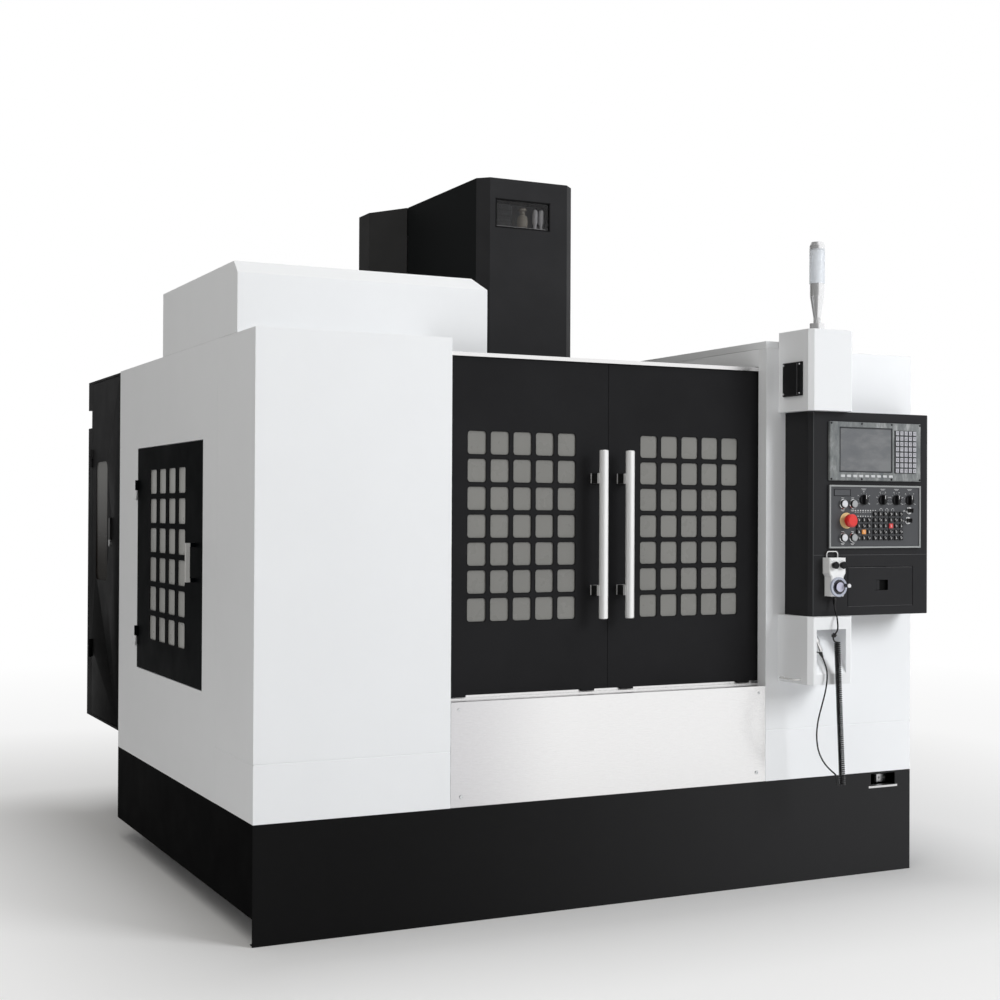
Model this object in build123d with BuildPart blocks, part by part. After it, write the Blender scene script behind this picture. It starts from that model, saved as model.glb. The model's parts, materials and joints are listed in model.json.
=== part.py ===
import os
from math import pi, tan

from build123d import *

os.makedirs("parts", exist_ok=True)

# Overall sizes, in millimetres
width = 2972
left_top = 2200
right_top = 2232
skirt_height = 432
front_seam = 643
body_depth = 2087
sheet = 4
sheet_gap = 3
seat = 0.3
side_skirt_bottom = 100
skirt_return = 40
grab_inset = 84
grab_width = 130
grab_bottom = 372
grab_height = 52

# Control box and its blocks on the right column
box_reach = 170
block_reach = 216
pendant_depth = 46
dial_depth = 16
crank_length = 26

# Electrical cabinet behind the left side
cabinet_depth = 705
cabinet_width = 800
cabinet_bottom = 506
cabinet_top = 2195

# The origin lies at the middle of the footprint, on the floor
front_reach = box_reach + seat + pendant_depth + dial_depth + crank_length
front = (front_reach - body_depth - cabinet_depth) / 2
half = width / 2

# Door opening and sliding doors
opening_half = 718
door_bottom = 835
door_top = 2140
door_setback = 70
door_depth = 30
door_overlap = 26
door_seam = 2
rail_margin = 12
rail_sheet = 6
track_rib = 8
shoe_drop = 2
shoe_lift = 2
shoe_inset = 60
shoe_length = 60
sill_depth = 126
sill_return = 60
floor_high = 520
floor_low = 450
rail_height = 15
rail_lip = 6

# Windows in the doors
window_width = 81
window_height = 91
window_pitch_x = 98
window_pitch_z = 107
window_columns = 5
window_rows = 7
window_corner = 8
window_middle_x = 385
window_middle_z = 1490
pane_depth = 6
pane_rim = 8

# Door handles
handle_x = 60
handle_radius = 18
handle_bottom = 1126
handle_length = 665
bracket_size = 40
bracket_inset = 111
handle_reach = 70
handle_bevel = 3

# Side access doors
side_door_front = 667
side_door_rear = 1733
side_door_bottom = 841
side_door_top = 1821
side_window_width = 115
side_window_height = 106
side_window_pitch_y = 156
side_window_pitch_z = 127
side_window_corner = 7
side_columns = 4
side_rows = 6
side_window_middle_y = 1212
side_window_middle_z = 1352
side_door_depth = 25
side_seam = 471
side_handle_y = 776
side_handle_bottom = 1260
side_handle_top = 1416
side_handle_bar = 16
side_handle_reach = 38

# Hinges that lift off, one pair for each hinged door
knuckle_radius = 7
knuckle_length = 45
pin_radius = 3
pin_length = 30
pin_clearance = 0.1
hinge_inset = 140
hinge_leaf = 24
cabinet_hinge_inset = 330
cabinet_leaf = 20

# Roof covers
roof_front = 222
roof_rear = 1300
roof_top = 2470
roof_width = 1020
roof_chamfer = 48
roof_lip = 2158
coaming_width = 250
coaming_top = 2262

# Head cover, column cover and head
cover_half = 236
cover_front = 770
cover_rear = 1575
cover_top = 3000
cover_bottom = 2100
cover_chamfer = 46
cover_window_left = -160
cover_window_width = 262
cover_window_bottom = 2789
cover_window_height = 120
cover_stay = 60
flare_half = 352
flare_front = 1583
flare_rear = 1788
column_cover_rear = 1920
column_cover_bottom = 2150

# Machine inside the enclosure
bed_bottom = 100
bed_top = 560
bed_half = 540
bed_front = 150
bed_rear = 2040
bed_bevel = 25
bed_wall = 30
trough_depth = 120
spindle_y = 1030
column_face = 1660
column_half = 265
column_foot_half = 430
column_top = 2880
column_upper_rear = 1890
column_waist = 1400
column_pad = 80
z_way_bottom = 1200
way_width = 45
way_height = 40
y_way_x = 330
x_way_y = 200
z_way_x = 150
saddle_half_x = 760
saddle_half_y = 310
saddle_bottom = 625
saddle_top = 790
saddle_tunnel = 60
table_half_x = 650
table_half_y = 300
table_bottom = 855
table_top = 950
slot_width = 18
slot_head = 30
slot_pitch = 100
slot_count = 5
slot_depth = 32
slot_head_depth = 12
truck_length = 110
truck_width = 90
truck_lift = 8
table_truck_x = 220
nose_height = 750
nose_length = 40
head_rise = 250
head_height = 550
head_drop = 120
head_stand = 62
head_front = 190
head_half = 190
head_bevel = 60
quill_radius = 85
motor_half = 110
motor_height = 420
spindle_radius = 45
spindle_clearance = 0.06
spindle_length = 260
flange_radius = 64
spindle_gap = 1
taper_radius = 22.2
taper_length = 65
taper_end_radius = 12.7

# Ball screw of each axis, with its bearings, its nut and its motor
screw_radius = 16
screw_clearance = 1
bearing_gap = 5
bearing_length = 50
nut_half = 30
nut_length = 90
feed_motor_half = 45
feed_motor_length = 100
cross_motor_half = 60
cross_motor_height = 120
z_screw_stand = 31
z_bearing_bottom = 1150

# Tool magazine beside the column
disc_x = -780
disc_y = 850
disc_z = 2085
disc_radius = 326
disc_depth = 40
pocket_count = 24
pocket_radius = 28
pocket_length = 65
pocket_rim = 8
hub_radius = 40
hub_clearance = 0.06
hub_lip = 14
hub_cap = 10
arm_depth = 50
arm_reach = 70
arm_foot = 120
arm_height = 70
arm_rise = 120

# Control box outline
box_left = 814
box_right = 1444
box_bottom = 1123
box_top = 1965
box_chamfer = 17
block_left = 780
block_right = 1004
upper_block_top = 2297
lower_block_bottom = 848
block_chamfer = 18
recess_left = 814
recess_width = 148
recess_bottom = 890
recess_height = 182
recess_depth = 100
bow_rear = 40
bow_front = 155
bow_z = 866
bow_reach = 26
bow_bend = 16
bow_radius = 4

# Panels on the control box
panel_left = 904
panel_right = 1384
display_bottom = 1681
display_top = 1925
display_depth = 12
screen_left = 958
screen_right = 1226
screen_bottom = 1721
screen_top = 1899
screen_recess = 4
display_bevel = 3
operator_bottom = 1402
operator_top = 1663
operator_depth = 8
frame_width = 7
frame_depth = 4

# Keys moulded on their pads
mdi_key = 17
mdi_columns = 5
mdi_rows = 8
mdi_pitch_x = 23
mdi_pitch_z = 22.5
mdi_middle_x = 1298
mdi_middle_z = 1805
pad_key = 19
pad_pitch_x = 27
pad_pitch_z = 25
pad_bottom = 1432
pad_places_x = (1080, 1166, 1250)
pad_rows = (4, 5, 5)
pad_columns = 3
key_depth = 5
pad_depth = 2

# Buttons, knobs and switches
button_places = ((974, 1585), (1025, 1585), (974, 1446), (1025, 1446))
button_radius = 16
button_depth = 14
button_travel = 3
button_bevel = 3
stem_radius = 8
stem_clearance = 0.3
stop_x = 992
stop_z = 1516
stop_radius = 27
stop_travel = 6
stop_collar = 33
stop_collar_depth = 3
stop_neck = 17
stop_neck_length = 8
stop_flare = 6
stop_length = 46
knob_places = ((1083, 1603), (1183, 1603), (1256, 1603), (1326, 1603))
knob_radius = 21
knob_depth = 18
knob_skirt = 6
knob_grip = 12
knob_grip_half = 19
knob_bevel = 2
switch_places = ((1322, 1559), (1316, 1517))
switch_radius = 12
switch_depth = 6
key_thickness = 3
key_width = 18
key_reach = 24

# Drawer under the operator panel
drawer_left = 1007
drawer_right = 1352
drawer_bottom = 1159
drawer_top = 1324
drawer_depth = 125
drawer_wall = 3
drawer_face = 20
drawer_gap = 2
pull_width = 64
pull_height = 43
pull_x = 1186
pull_z = 1247
pull_depth = 14

# Handwheel pendant
pendant_x = 920
pendant_top = 1364
pendant_width = 83
pendant_bottom = 1206
pendant_shoulder = 1300
pendant_waist = 64
pendant_taper = 14
pendant_bevel = 4
pendant_knob_x = 20
pendant_knob_z = 1334
pendant_knob_radius = 13
pendant_knob_depth = 12
dial_rim = 8
dial_hub = 20
crank_offset = 26
crank_rise = 6
gland_radius = 7
dial_z = 1245
dial_radius = 40
crank_radius = 8
hook_width = 62
hook_height = 28
hook_radius = 3
hook_bend = 12
hook_offset = 4

# Cord of the pendant, points as (x, distance ahead of the front plane, z)
cord_radius = 3.2
coil_radius = 13.5
upper_points = [
    (920, 193, 1190),
    (920, 193.5, 1166),
    (917, 207, 1144),
    (912, 228, 1127),
    (908, 239, 1101),
    (906, 242, 1068),
    (906, 241.5, 1028),
]
coil_points = [(906, 241.5, 1028), (912, 240, 830), (919, 240, 632), (927, 240, 434)]
lower_points = [
    (925.9, 240, 461),
    (905, 240, 481),
    (872, 240, 499),
    (835, 240, 532),
    (806, 239, 580),
    (796, 238, 640),
    (803, 237, 702),
    (823, 236, 762),
    (845, 234, 822),
    (858, 230, 880),
    (857, 222, 926),
    (850, 208, 958),
]
plug_radius = 13
plug_rib = 3
plug_nut = 22
plug_length = 84
plug_boot = 26
plug_boot_radius = 9
socket_length = 50

# Tower light on the upper block
tower_x = 899
tower_y = 100
tower_foot = 31
tower_foot_height = 36
tower_neck = 15
tower_neck_height = 24
tower_shoulder = 30
tower_shoulder_height = 150
tower_lens_radius = 32
tower_lens_bottom = 2499
tower_lens_top = 2642
tower_tip = 2671

# Fan cover on the upper block
vent_front = 165
vent_rear = 39
vent_bottom = 2027
vent_top = 2166
vent_depth = 12
vent_rim = 14
vent_groove = 4
vent_groove_inset = 24
vent_groove_depth = 6
vent_bevel = 4

# Levelling feet
foot_radius = 55
foot_height = 22
stud_radius = 15
feet_x = (-480, 480)
feet_y = (260, 1150, 1950)

# Cabinet door, its glass slot, its lever and the drives inside
cabinet_rim = 14
cabinet_rim_front = 14
cabinet_rim_rear = 105
cabinet_door_depth = 22
notch_width = 60
notch_depth = 80
notch_bottom = 1961
notch_height = 91
sight_inset = 267
sight_width = 249
sight_bottom = 1200
sight_top = 1784
sight_corner = 40
lever_inset = 178
lever_pivot_z = 1495
lever_length = 110
lever_width = 28
lever_depth = 10
lever_stem = 12
rack_depth = 12
rack_inset = 60
drive_count = 4
drive_inset = 40
drive_width = 90
drive_pitch = 125
drive_depth = 170
drive_height = 420
drive_bottom = 1300


def block(x, y, z, mode=Mode.ADD):
    """Adds or cuts a box that fills the given ranges."""
    with Locations(((x[0] + x[1]) / 2, (y[0] + y[1]) / 2, (z[0] + z[1]) / 2)):
        Box(x[1] - x[0], y[1] - y[0], z[1] - z[0], mode=mode)


def facing_front(y):
    """Gives a plane at this depth that faces the front, with x to the right and z up."""
    return Plane.XZ.offset(-y)


def facing_right(x):
    """Gives a plane at this x that faces the right, with y and z in it."""
    return Plane.YZ.offset(x)


def on_side(side, points):
    """Mirrors a right-hand outline to the given side and keeps its inside on the left."""
    return points if side > 0 else [(-x, y) for x, y in reversed(points)]


def span(side, inner, outer):
    """Gives the range between two distances from the middle plane on one side."""
    return (inner, outer) if side > 0 else (-outer, -inner)


def folded(points, bottom, top):
    """Makes an upright sheet that is folded along the points, seen from above."""
    with BuildSketch(Plane.XY.offset(bottom)) as section:
        with BuildLine():
            Polyline(*points)
            offset(amount=sheet, side=Side.LEFT, kind=Kind.INTERSECTION)
        make_face()
    extrude(section.sketch, amount=top - bottom)


def tray(x, y, z, wall, open_to):
    """Makes a folded door leaf: a plate with returns, open to the rear, left or right."""
    block(x, y, z)
    low = [x[0] + wall, y[0] + wall, z[0] + wall]
    high = [x[1] - wall, y[1] - wall, z[1] - wall]
    if open_to == "rear":
        high[1] = y[1]
    if open_to == "left":
        low[0] = x[0]
    if open_to == "right":
        high[0] = x[1]
    block((low[0], high[0]), (low[1], high[1]), (low[2], high[2]), Mode.SUBTRACT)


def turned(place, axis, radius, length, mode=Mode.ADD):
    """Adds or cuts a round bar from a place along an axis."""
    with BuildSketch(Plane(origin=place, z_dir=axis)) as section:
        Circle(radius)
    extrude(section.sketch, amount=length, mode=mode)


def revolved(place, axis, outline):
    """Turns an outline of (radius, height) points about an axis from a place."""
    up = Vector(*axis)
    across = Vector(0, 0, 1).cross(up)
    if across.length < 0.01:
        across = Vector(1, 0, 0)
    plane = Plane(origin=place, x_dir=across, z_dir=across.cross(up))
    with BuildSketch(plane) as section:
        with BuildLine():
            Polyline(*outline, close=True)
        make_face()
    revolve(section.sketch, axis=Axis(place, axis))


def hinge_half(side, y, bottom, leaf):
    """Adds a knuckle outside the side wall, with its leaf to the front or the rear."""
    centre = side * (half + knuckle_radius + seat)
    turned((centre, y, bottom), (0, 0, 1), knuckle_radius, knuckle_length)
    block(
        span(side, half, half + knuckle_radius),
        (min(y, y + leaf), max(y, y + leaf)),
        (bottom, bottom + knuckle_length),
    )


def fixed_hinge(side, y, height, leaf):
    """Adds the lower half of a lift-off hinge with the pin that stands in it."""
    hinge_half(side, y, height - knuckle_length - seat, leaf)
    centre = side * (half + knuckle_radius + seat)
    turned((centre, y, height - seat), (0, 0, 1), pin_radius, pin_length)


def door_hinge(side, y, height, leaf):
    """Adds the upper half of a lift-off hinge, bored for the pin."""
    hinge_half(side, y, height, -leaf)
    centre = side * (half + knuckle_radius + seat)
    bore = pin_radius + pin_clearance
    turned((centre, y, height), (0, 0, 1), bore, pin_length, Mode.SUBTRACT)


def corner_radii(points, share=0.45):
    """Gives each corner of a cord's route as large a radius as its two runs allow."""
    radii = []
    for before, corner, after in zip(points, points[1:], points[2:]):
        run_in = Vector(*corner) - Vector(*before)
        run_out = Vector(*after) - Vector(*corner)
        half_turn = run_in.get_angle(run_out) * pi / 360
        radii.append(share * min(run_in.length, run_out.length) / tan(half_turn))
    return radii


def route(points):
    """Places a cord's route in front of the machine."""
    return [(x, front - ahead, z) for x, ahead, z in points]


def tube(points, radius):
    """Sweeps a round cord along runs that are joined by tangent arcs."""
    with BuildLine() as line:
        FilletPolyline(*points, radius=corner_radii(points))
    path = line.wires()[0]
    with BuildSketch(Plane(origin=points[0], z_dir=path % 0)) as section:
        Circle(radius)
    sweep(section.sketch, path=path)
    return path.length


# Front skirt with its grab opening and bright lip
grab_x = (half - grab_inset - grab_width, half - grab_inset)
with BuildPart() as front_skirt:
    block((-half, half), (front, front + sheet), (0, skirt_height))
    for low in (0, skirt_height - sheet):
        block((-half + sheet, half - sheet), (front + sheet, front + skirt_return), (low, low + sheet))
    block(
        grab_x,
        (front, front + sheet),
        (grab_bottom, grab_bottom + grab_height),
        Mode.SUBTRACT,
    )
    block(grab_x, (front + sheet, front + skirt_return), (grab_bottom - sheet, grab_bottom))
front_skirt.part.label = "front_skirt"
export_step(front_skirt.part, "parts/front_skirt.step")

# Side skirts stop short of the floor and turn in behind the machine
with BuildPart() as side_skirts:
    for side in (-1, 1):
        outline = [
            (half, front + sheet),
            (half, front + body_depth),
            (bed_half + skirt_return, front + body_depth),
        ]
        folded(on_side(side, outline), side_skirt_bottom, skirt_height)
side_skirts.part.label = "side_skirts"
export_step(side_skirts.part, "parts/side_skirts.step")

# Column panels wrap round the front corners, each a low cover with a tall one above its seam
for side, name, top in ((-1, "left", left_top), (1, "right", right_top)):
    with BuildPart() as column_panel:
        outline = [
            (opening_half, front + door_setback - rail_margin),
            (opening_half, front),
            (half, front),
            (half, front + side_seam),
        ]
        folded(on_side(side, outline), skirt_height, front_seam)
        folded(on_side(side, outline), front_seam + sheet_gap, top)
        block(
            span(side, opening_half + sheet, half - sheet),
            (front + sheet, front + side_seam),
            (top - sheet, top),
        )
    column_panel.part.label = f"{name}_column_panel"
    export_step(column_panel.part, f"parts/{name}_column_panel.step")

# Side panels with the access opening, the rear wall, the roof sheet and the sloping chip floor
hinge_y = front + side_door_rear + sheet_gap / 2
hinge_heights = (side_door_bottom + hinge_inset, side_door_top - hinge_inset - knuckle_length)
side_panels = ((-1, "left", left_top, roof_rear), (1, "right", right_top, side_seam))
for side, name, top, roof_start in side_panels:
    with BuildPart() as side_panel:
        outline = [
            (half, front + side_seam),
            (half, front + body_depth),
            (column_foot_half + sheet_gap, front + body_depth),
        ]
        folded(on_side(side, outline), skirt_height, top)
        block(
            span(side, half - sheet, half),
            (front + side_door_front - sheet_gap, front + side_door_rear + sheet_gap),
            (side_door_bottom - sheet_gap, side_door_top + sheet_gap),
            Mode.SUBTRACT,
        )
        floor = [
            (half - sheet, floor_high),
            (bed_half + seat, floor_low),
            (bed_half + seat, floor_low - sheet),
            (half - sheet, floor_high - sheet),
        ]
        with BuildSketch(facing_front(front + body_depth - sheet)):
            with BuildLine():
                Polyline(*[(side * x, z) for x, z in floor], close=True)
            make_face()
        extrude(amount=body_depth - sheet - side_seam)
        block(
            span(side, opening_half, half - sheet),
            (front + roof_start, front + body_depth - sheet),
            (top - sheet, top),
        )
        for height in hinge_heights:
            fixed_hinge(side, hinge_y, height, hinge_leaf)
    side_panel.part.label = f"{name}_side_panel"
    export_step(side_panel.part, f"parts/{name}_side_panel.step")

# Side access doors, each with a window grid, a pane and a bar handle on two standoffs
door_side_y = (front + side_door_front, front + side_door_rear)
window_middle_y = front + side_window_middle_y
for side, name in ((-1, "left"), (1, "right")):
    with BuildPart() as side_door:
        tray(
            span(side, half - side_door_depth, half),
            door_side_y,
            (side_door_bottom, side_door_top),
            sheet,
            "right" if side < 0 else "left",
        )
        inner_face = half - sheet if side > 0 else -half
        with BuildSketch(facing_right(inner_face)):
            with Locations((window_middle_y, side_window_middle_z)):
                with GridLocations(side_window_pitch_y, side_window_pitch_z, side_columns, side_rows):
                    Rectangle(side_window_width, side_window_height)
            chamfer(vertices(), side_window_corner)
        extrude(amount=sheet, mode=Mode.SUBTRACT)
        for height in hinge_heights:
            door_hinge(side, hinge_y, height, hinge_leaf)
        grip_low = front + side_handle_y - side_handle_bar / 2
        grip_y = (grip_low, grip_low + side_handle_bar)
        grip_outer = half + side_handle_reach
        bar_inner = grip_outer - side_handle_bar
        for z in (side_handle_bottom, side_handle_top - side_handle_bar):
            block(span(side, half + seat, bar_inner - seat), grip_y, (z, z + side_handle_bar))
        block(
            span(side, bar_inner, grip_outer),
            grip_y,
            (side_handle_bottom, side_handle_top),
        )
    side_door.part.label = f"{name}_side_door"
    export_step(side_door.part, f"parts/{name}_side_door.step")
    with BuildPart() as side_pane:
        block(
            span(side, half - sheet - pane_depth, half - sheet),
            (
                window_middle_y - side_window_pitch_y * side_columns / 2 - pane_rim,
                window_middle_y + side_window_pitch_y * side_columns / 2 + pane_rim,
            ),
            (
                side_window_middle_z - side_window_pitch_z * side_rows / 2 - pane_rim,
                side_window_middle_z + side_window_pitch_z * side_rows / 2 + pane_rim,
            ),
        )
    side_pane.part.label = f"{name}_side_pane"
    export_step(side_pane.part, f"parts/{name}_side_pane.step")

# Stainless sill panel under the doors, with the ledge that carries the lower rail
sill_top = door_bottom - rail_sheet
with BuildPart() as sill_panel:
    sill_outline = [
        (front, skirt_height),
        (front, sill_top),
        (front + sill_depth, sill_top),
        (front + sill_depth, sill_top - sill_return),
        (front + sill_depth - sheet, sill_top - sill_return),
        (front + sill_depth - sheet, sill_top - sheet),
        (front + sheet, sill_top - sheet),
        (front + sheet, skirt_height),
    ]
    with BuildSketch(facing_right(-opening_half)):
        with BuildLine():
            Polyline(*sill_outline, close=True)
        make_face()
    extrude(amount=2 * opening_half)
sill_panel.part.label = "sill_panel"
export_step(sill_panel.part, "parts/sill_panel.step")

# Door rails: a channel above and a flat track below, from side panel to side panel
rail_front = front + door_setback - rail_margin
rail_rear = front + door_setback + door_depth + rail_margin
rail_half = half - sheet
with BuildPart() as door_rails:
    block((-rail_half, rail_half), (rail_front, rail_rear), (door_top, door_top + rail_height))
    block(
        (-rail_half, rail_half),
        (rail_front + sheet, rail_rear - sheet),
        (door_top, door_top + rail_height - sheet),
        Mode.SUBTRACT,
    )
    block((-rail_half, rail_half), (rail_front, rail_rear), (door_bottom - rail_sheet, door_bottom))
    rib = front + door_setback + door_depth / 2
    block(
        (-rail_half, rail_half),
        (rib - track_rib / 2, rib + track_rib / 2),
        (door_bottom, door_bottom + track_rib),
    )
door_rails.part.label = "door_rails"
export_step(door_rails.part, "parts/door_rails.step")

# Sliding doors, each a folded leaf with a grid of windows and two grooved shoes
leaf_bottom = door_bottom + track_rib + shoe_drop
leaf_top = door_top + rail_lip
for side, name in ((-1, "left"), (1, "right")):
    leaf_x = span(side, door_seam / 2, opening_half + door_overlap)
    leaf_y = (front + door_setback, front + door_setback + door_depth)
    with BuildPart() as door:
        tray(leaf_x, leaf_y, (leaf_bottom, leaf_top), sheet, "rear")
        with BuildSketch(facing_front(front + door_setback + sheet)):
            with Locations((side * window_middle_x, window_middle_z)):
                with GridLocations(
                    window_pitch_x, window_pitch_z, window_columns, window_rows
                ):
                    Rectangle(window_width, window_height)
            chamfer(vertices(), window_corner)
        extrude(amount=sheet, mode=Mode.SUBTRACT)
        for shoe_x in (shoe_inset, opening_half + door_overlap - shoe_inset - shoe_length):
            shoe_span = span(side, shoe_x, shoe_x + shoe_length)
            block(shoe_span, leaf_y, (door_bottom + shoe_lift, leaf_bottom))
            block(
                shoe_span,
                (rib - track_rib / 2 - seat, rib + track_rib / 2 + seat),
                (door_bottom + shoe_lift, door_bottom + track_rib + seat),
                Mode.SUBTRACT,
            )
    door.part.label = f"{name}_door"
    export_step(door.part, f"parts/{name}_door.step")
    with BuildPart() as door_pane:
        pane_half = window_pitch_x * window_columns / 2 + pane_rim
        pane_rise = window_pitch_z * window_rows / 2 + pane_rim
        block(
            (side * window_middle_x - pane_half, side * window_middle_x + pane_half),
            (leaf_y[0] + sheet, leaf_y[0] + sheet + pane_depth),
            (window_middle_z - pane_rise, window_middle_z + pane_rise),
        )
    door_pane.part.label = f"{name}_door_pane"
    export_step(door_pane.part, f"parts/{name}_door_pane.step")
    with BuildPart() as door_handle:
        bar_y = front + door_setback - handle_reach
        turned((side * handle_x, bar_y, handle_bottom), (0, 0, 1), handle_radius, handle_length)
        bar_ends = door_handle.edges().filter_by(GeomType.CIRCLE)
        chamfer(bar_ends, handle_bevel)
        for z in (handle_bottom + bracket_inset, handle_bottom + handle_length - bracket_inset):
            block(
                (side * handle_x - bracket_size / 2, side * handle_x + bracket_size / 2),
                (bar_y, front + door_setback),
                (z - bracket_size / 2, z + bracket_size / 2),
            )
    door_handle.part.label = f"{name}_door_handle"
    export_step(door_handle.part, f"parts/{name}_door_handle.step")

# Left roof cover over the tool magazine, with its bevelled top edges
with BuildPart() as left_roof_cover:
    cover_x = (-half, -half + roof_width)
    block(cover_x, (front + roof_front, front + roof_rear), (roof_lip, roof_top))
    upper_front = left_roof_cover.edges().filter_by(Axis.X).group_by(Axis.Z)[-1].sort_by(Axis.Y)[0]
    upper_right = left_roof_cover.edges().filter_by(Axis.Y).group_by(Axis.Z)[-1].sort_by(Axis.X)[-1]
    chamfer([upper_front, upper_right], roof_chamfer)
    offset(amount=-sheet, openings=left_roof_cover.faces().sort_by(Axis.Z)[0])
    block(
        (-half, -opening_half),
        (front + roof_front, front + roof_rear),
        (roof_lip, left_top),
        Mode.SUBTRACT,
    )
left_roof_cover.part.label = "left_roof_cover"
export_step(left_roof_cover.part, "parts/left_roof_cover.step")

# Raised coaming along the right side of the open roof
with BuildPart() as right_roof_cover:
    block(
        (opening_half, opening_half + coaming_width),
        (front + sheet, front + roof_rear),
        (right_top, coaming_top),
    )
    offset(amount=-sheet, openings=right_roof_cover.faces().sort_by(Axis.Z)[0])
right_roof_cover.part.label = "right_roof_cover"
export_step(right_roof_cover.part, "parts/right_roof_cover.step")

# Cast bed with chip troughs between its ways and the mounting pad for the column
with BuildPart() as base_casting:
    block((-bed_half, bed_half), (front + bed_front, front + bed_rear), (bed_bottom, bed_top))
    chamfer(base_casting.edges().filter_by(Axis.Z), bed_bevel)
    way_rear = front + column_face - seat
    for side in (-1, 1):
        block(
            span(side, y_way_x + way_width, bed_half - bed_wall),
            (front + bed_front + bed_wall, way_rear - bed_wall),
            (bed_top - trough_depth, bed_top),
            Mode.SUBTRACT,
        )
        block(
            span(side, y_way_x - way_width / 2, y_way_x + way_width / 2),
            (front + bed_front + bed_wall, way_rear),
            (bed_top, bed_top + way_height),
        )
    block(
        (-y_way_x + way_width, y_way_x - way_width),
        (front + bed_front + bed_wall, way_rear - bed_wall),
        (bed_top - trough_depth, bed_top),
        Mode.SUBTRACT,
    )
    y_screw_z = saddle_bottom + saddle_tunnel / 2
    bearing_half = saddle_tunnel / 2 - bearing_gap
    for y in (front + bed_front, way_rear - bearing_length):
        block(
            (-bearing_half, bearing_half),
            (y, y + bearing_length),
            (bed_top - trough_depth, y_screw_z + bearing_half),
        )
    turned((0, front + bed_front, y_screw_z), (0, 1, 0), screw_radius, way_rear - front - bed_front)
    block(
        (-feed_motor_half, feed_motor_half),
        (front + bed_front - feed_motor_length, front + bed_front),
        (y_screw_z - feed_motor_half, y_screw_z + feed_motor_half),
    )
base_casting.part.label = "base_casting"
export_step(base_casting.part, "parts/base_casting.step")

# Levelling feet: a round pad and a screw under each corner of the bed
with BuildPart() as levelling_feet:
    for x in feet_x:
        for y in feet_y:
            outline = [
                (0, 0),
                (foot_radius, 0),
                (foot_radius, foot_height / 2),
                (stud_radius, foot_height),
                (stud_radius, bed_bottom),
                (0, bed_bottom),
            ]
            revolved((x, front + y, 0), (0, 0, 1), outline)
levelling_feet.part.label = "levelling_feet"
export_step(levelling_feet.part, "parts/levelling_feet.step")

# Cast column: wide at its foot, narrow behind the head, hollow through the middle
with BuildPart() as column_casting:
    front_view = [
        (column_foot_half, bed_top),
        (column_foot_half, bed_top + column_pad),
        (column_half, column_waist),
        (column_half, column_top),
        (-column_half, column_top),
        (-column_half, column_waist),
        (-column_foot_half, bed_top + column_pad),
        (-column_foot_half, bed_top),
    ]
    with BuildSketch(facing_front(front + bed_rear)):
        with BuildLine():
            Polyline(*front_view, close=True)
        make_face()
    extrude(amount=bed_rear - column_face)
    side_view = [
        (front + bed_rear, bed_top + column_pad),
        (front + column_upper_rear, column_waist),
        (front + column_upper_rear, column_top),
        (front + bed_rear, column_top),
    ]
    with BuildSketch(facing_right(-column_foot_half)):
        with BuildLine():
            Polyline(*side_view, close=True)
        make_face()
    extrude(amount=2 * column_foot_half, mode=Mode.SUBTRACT)
    block(
        (-column_half + bed_wall, column_half - bed_wall),
        (front + column_face + bed_wall, front + column_upper_rear - bed_wall),
        (bed_top + bed_wall, column_top),
        Mode.SUBTRACT,
    )
    for side in (-1, 1):
        block(
            span(side, z_way_x - way_width / 2, z_way_x + way_width / 2),
            (front + column_face - way_height, front + column_face),
            (z_way_bottom, column_top),
        )
    z_screw_y = front + column_face - z_screw_stand
    for z in (z_bearing_bottom, column_top - bearing_length):
        block(
            (-bearing_half, bearing_half),
            (z_screw_y - bearing_half, front + column_face),
            (z, z + bearing_length),
        )
    turned((0, z_screw_y, z_bearing_bottom), (0, 0, 1), screw_radius, column_top - z_bearing_bottom)
    block(
        (-feed_motor_half, feed_motor_half),
        (z_screw_y - feed_motor_half, z_screw_y + feed_motor_half),
        (column_top, column_top + feed_motor_length),
    )
column_casting.part.label = "column_casting"
export_step(column_casting.part, "parts/column_casting.step")

# Column cover: a black hood that flares behind the head cover
flare_inner = cover_half + sheet_gap
with BuildPart() as column_cover:
    plan = [
        (flare_inner, front + flare_front),
        (flare_half, front + flare_rear),
        (flare_half, front + column_cover_rear),
        (-flare_half, front + column_cover_rear),
        (-flare_half, front + flare_rear),
        (-flare_inner, front + flare_front),
    ]
    with BuildSketch(Plane.XY.offset(column_cover_bottom)):
        with BuildLine():
            Polyline(*plan, close=True)
        make_face()
    extrude(amount=cover_top - column_cover_bottom)
    below = column_cover.faces().sort_by(Axis.Z)[0]
    ahead = column_cover.faces().sort_by(Axis.Y)[0]
    offset(amount=-sheet, openings=[below, ahead])
    for side in (-1, 1):
        block(
            span(side, column_half, flare_half - sheet),
            (front + flare_rear, front + flare_rear + cover_stay),
            (column_top - cover_stay, column_top),
        )
column_cover.part.label = "column_cover"
export_step(column_cover.part, "parts/column_cover.step")

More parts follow.
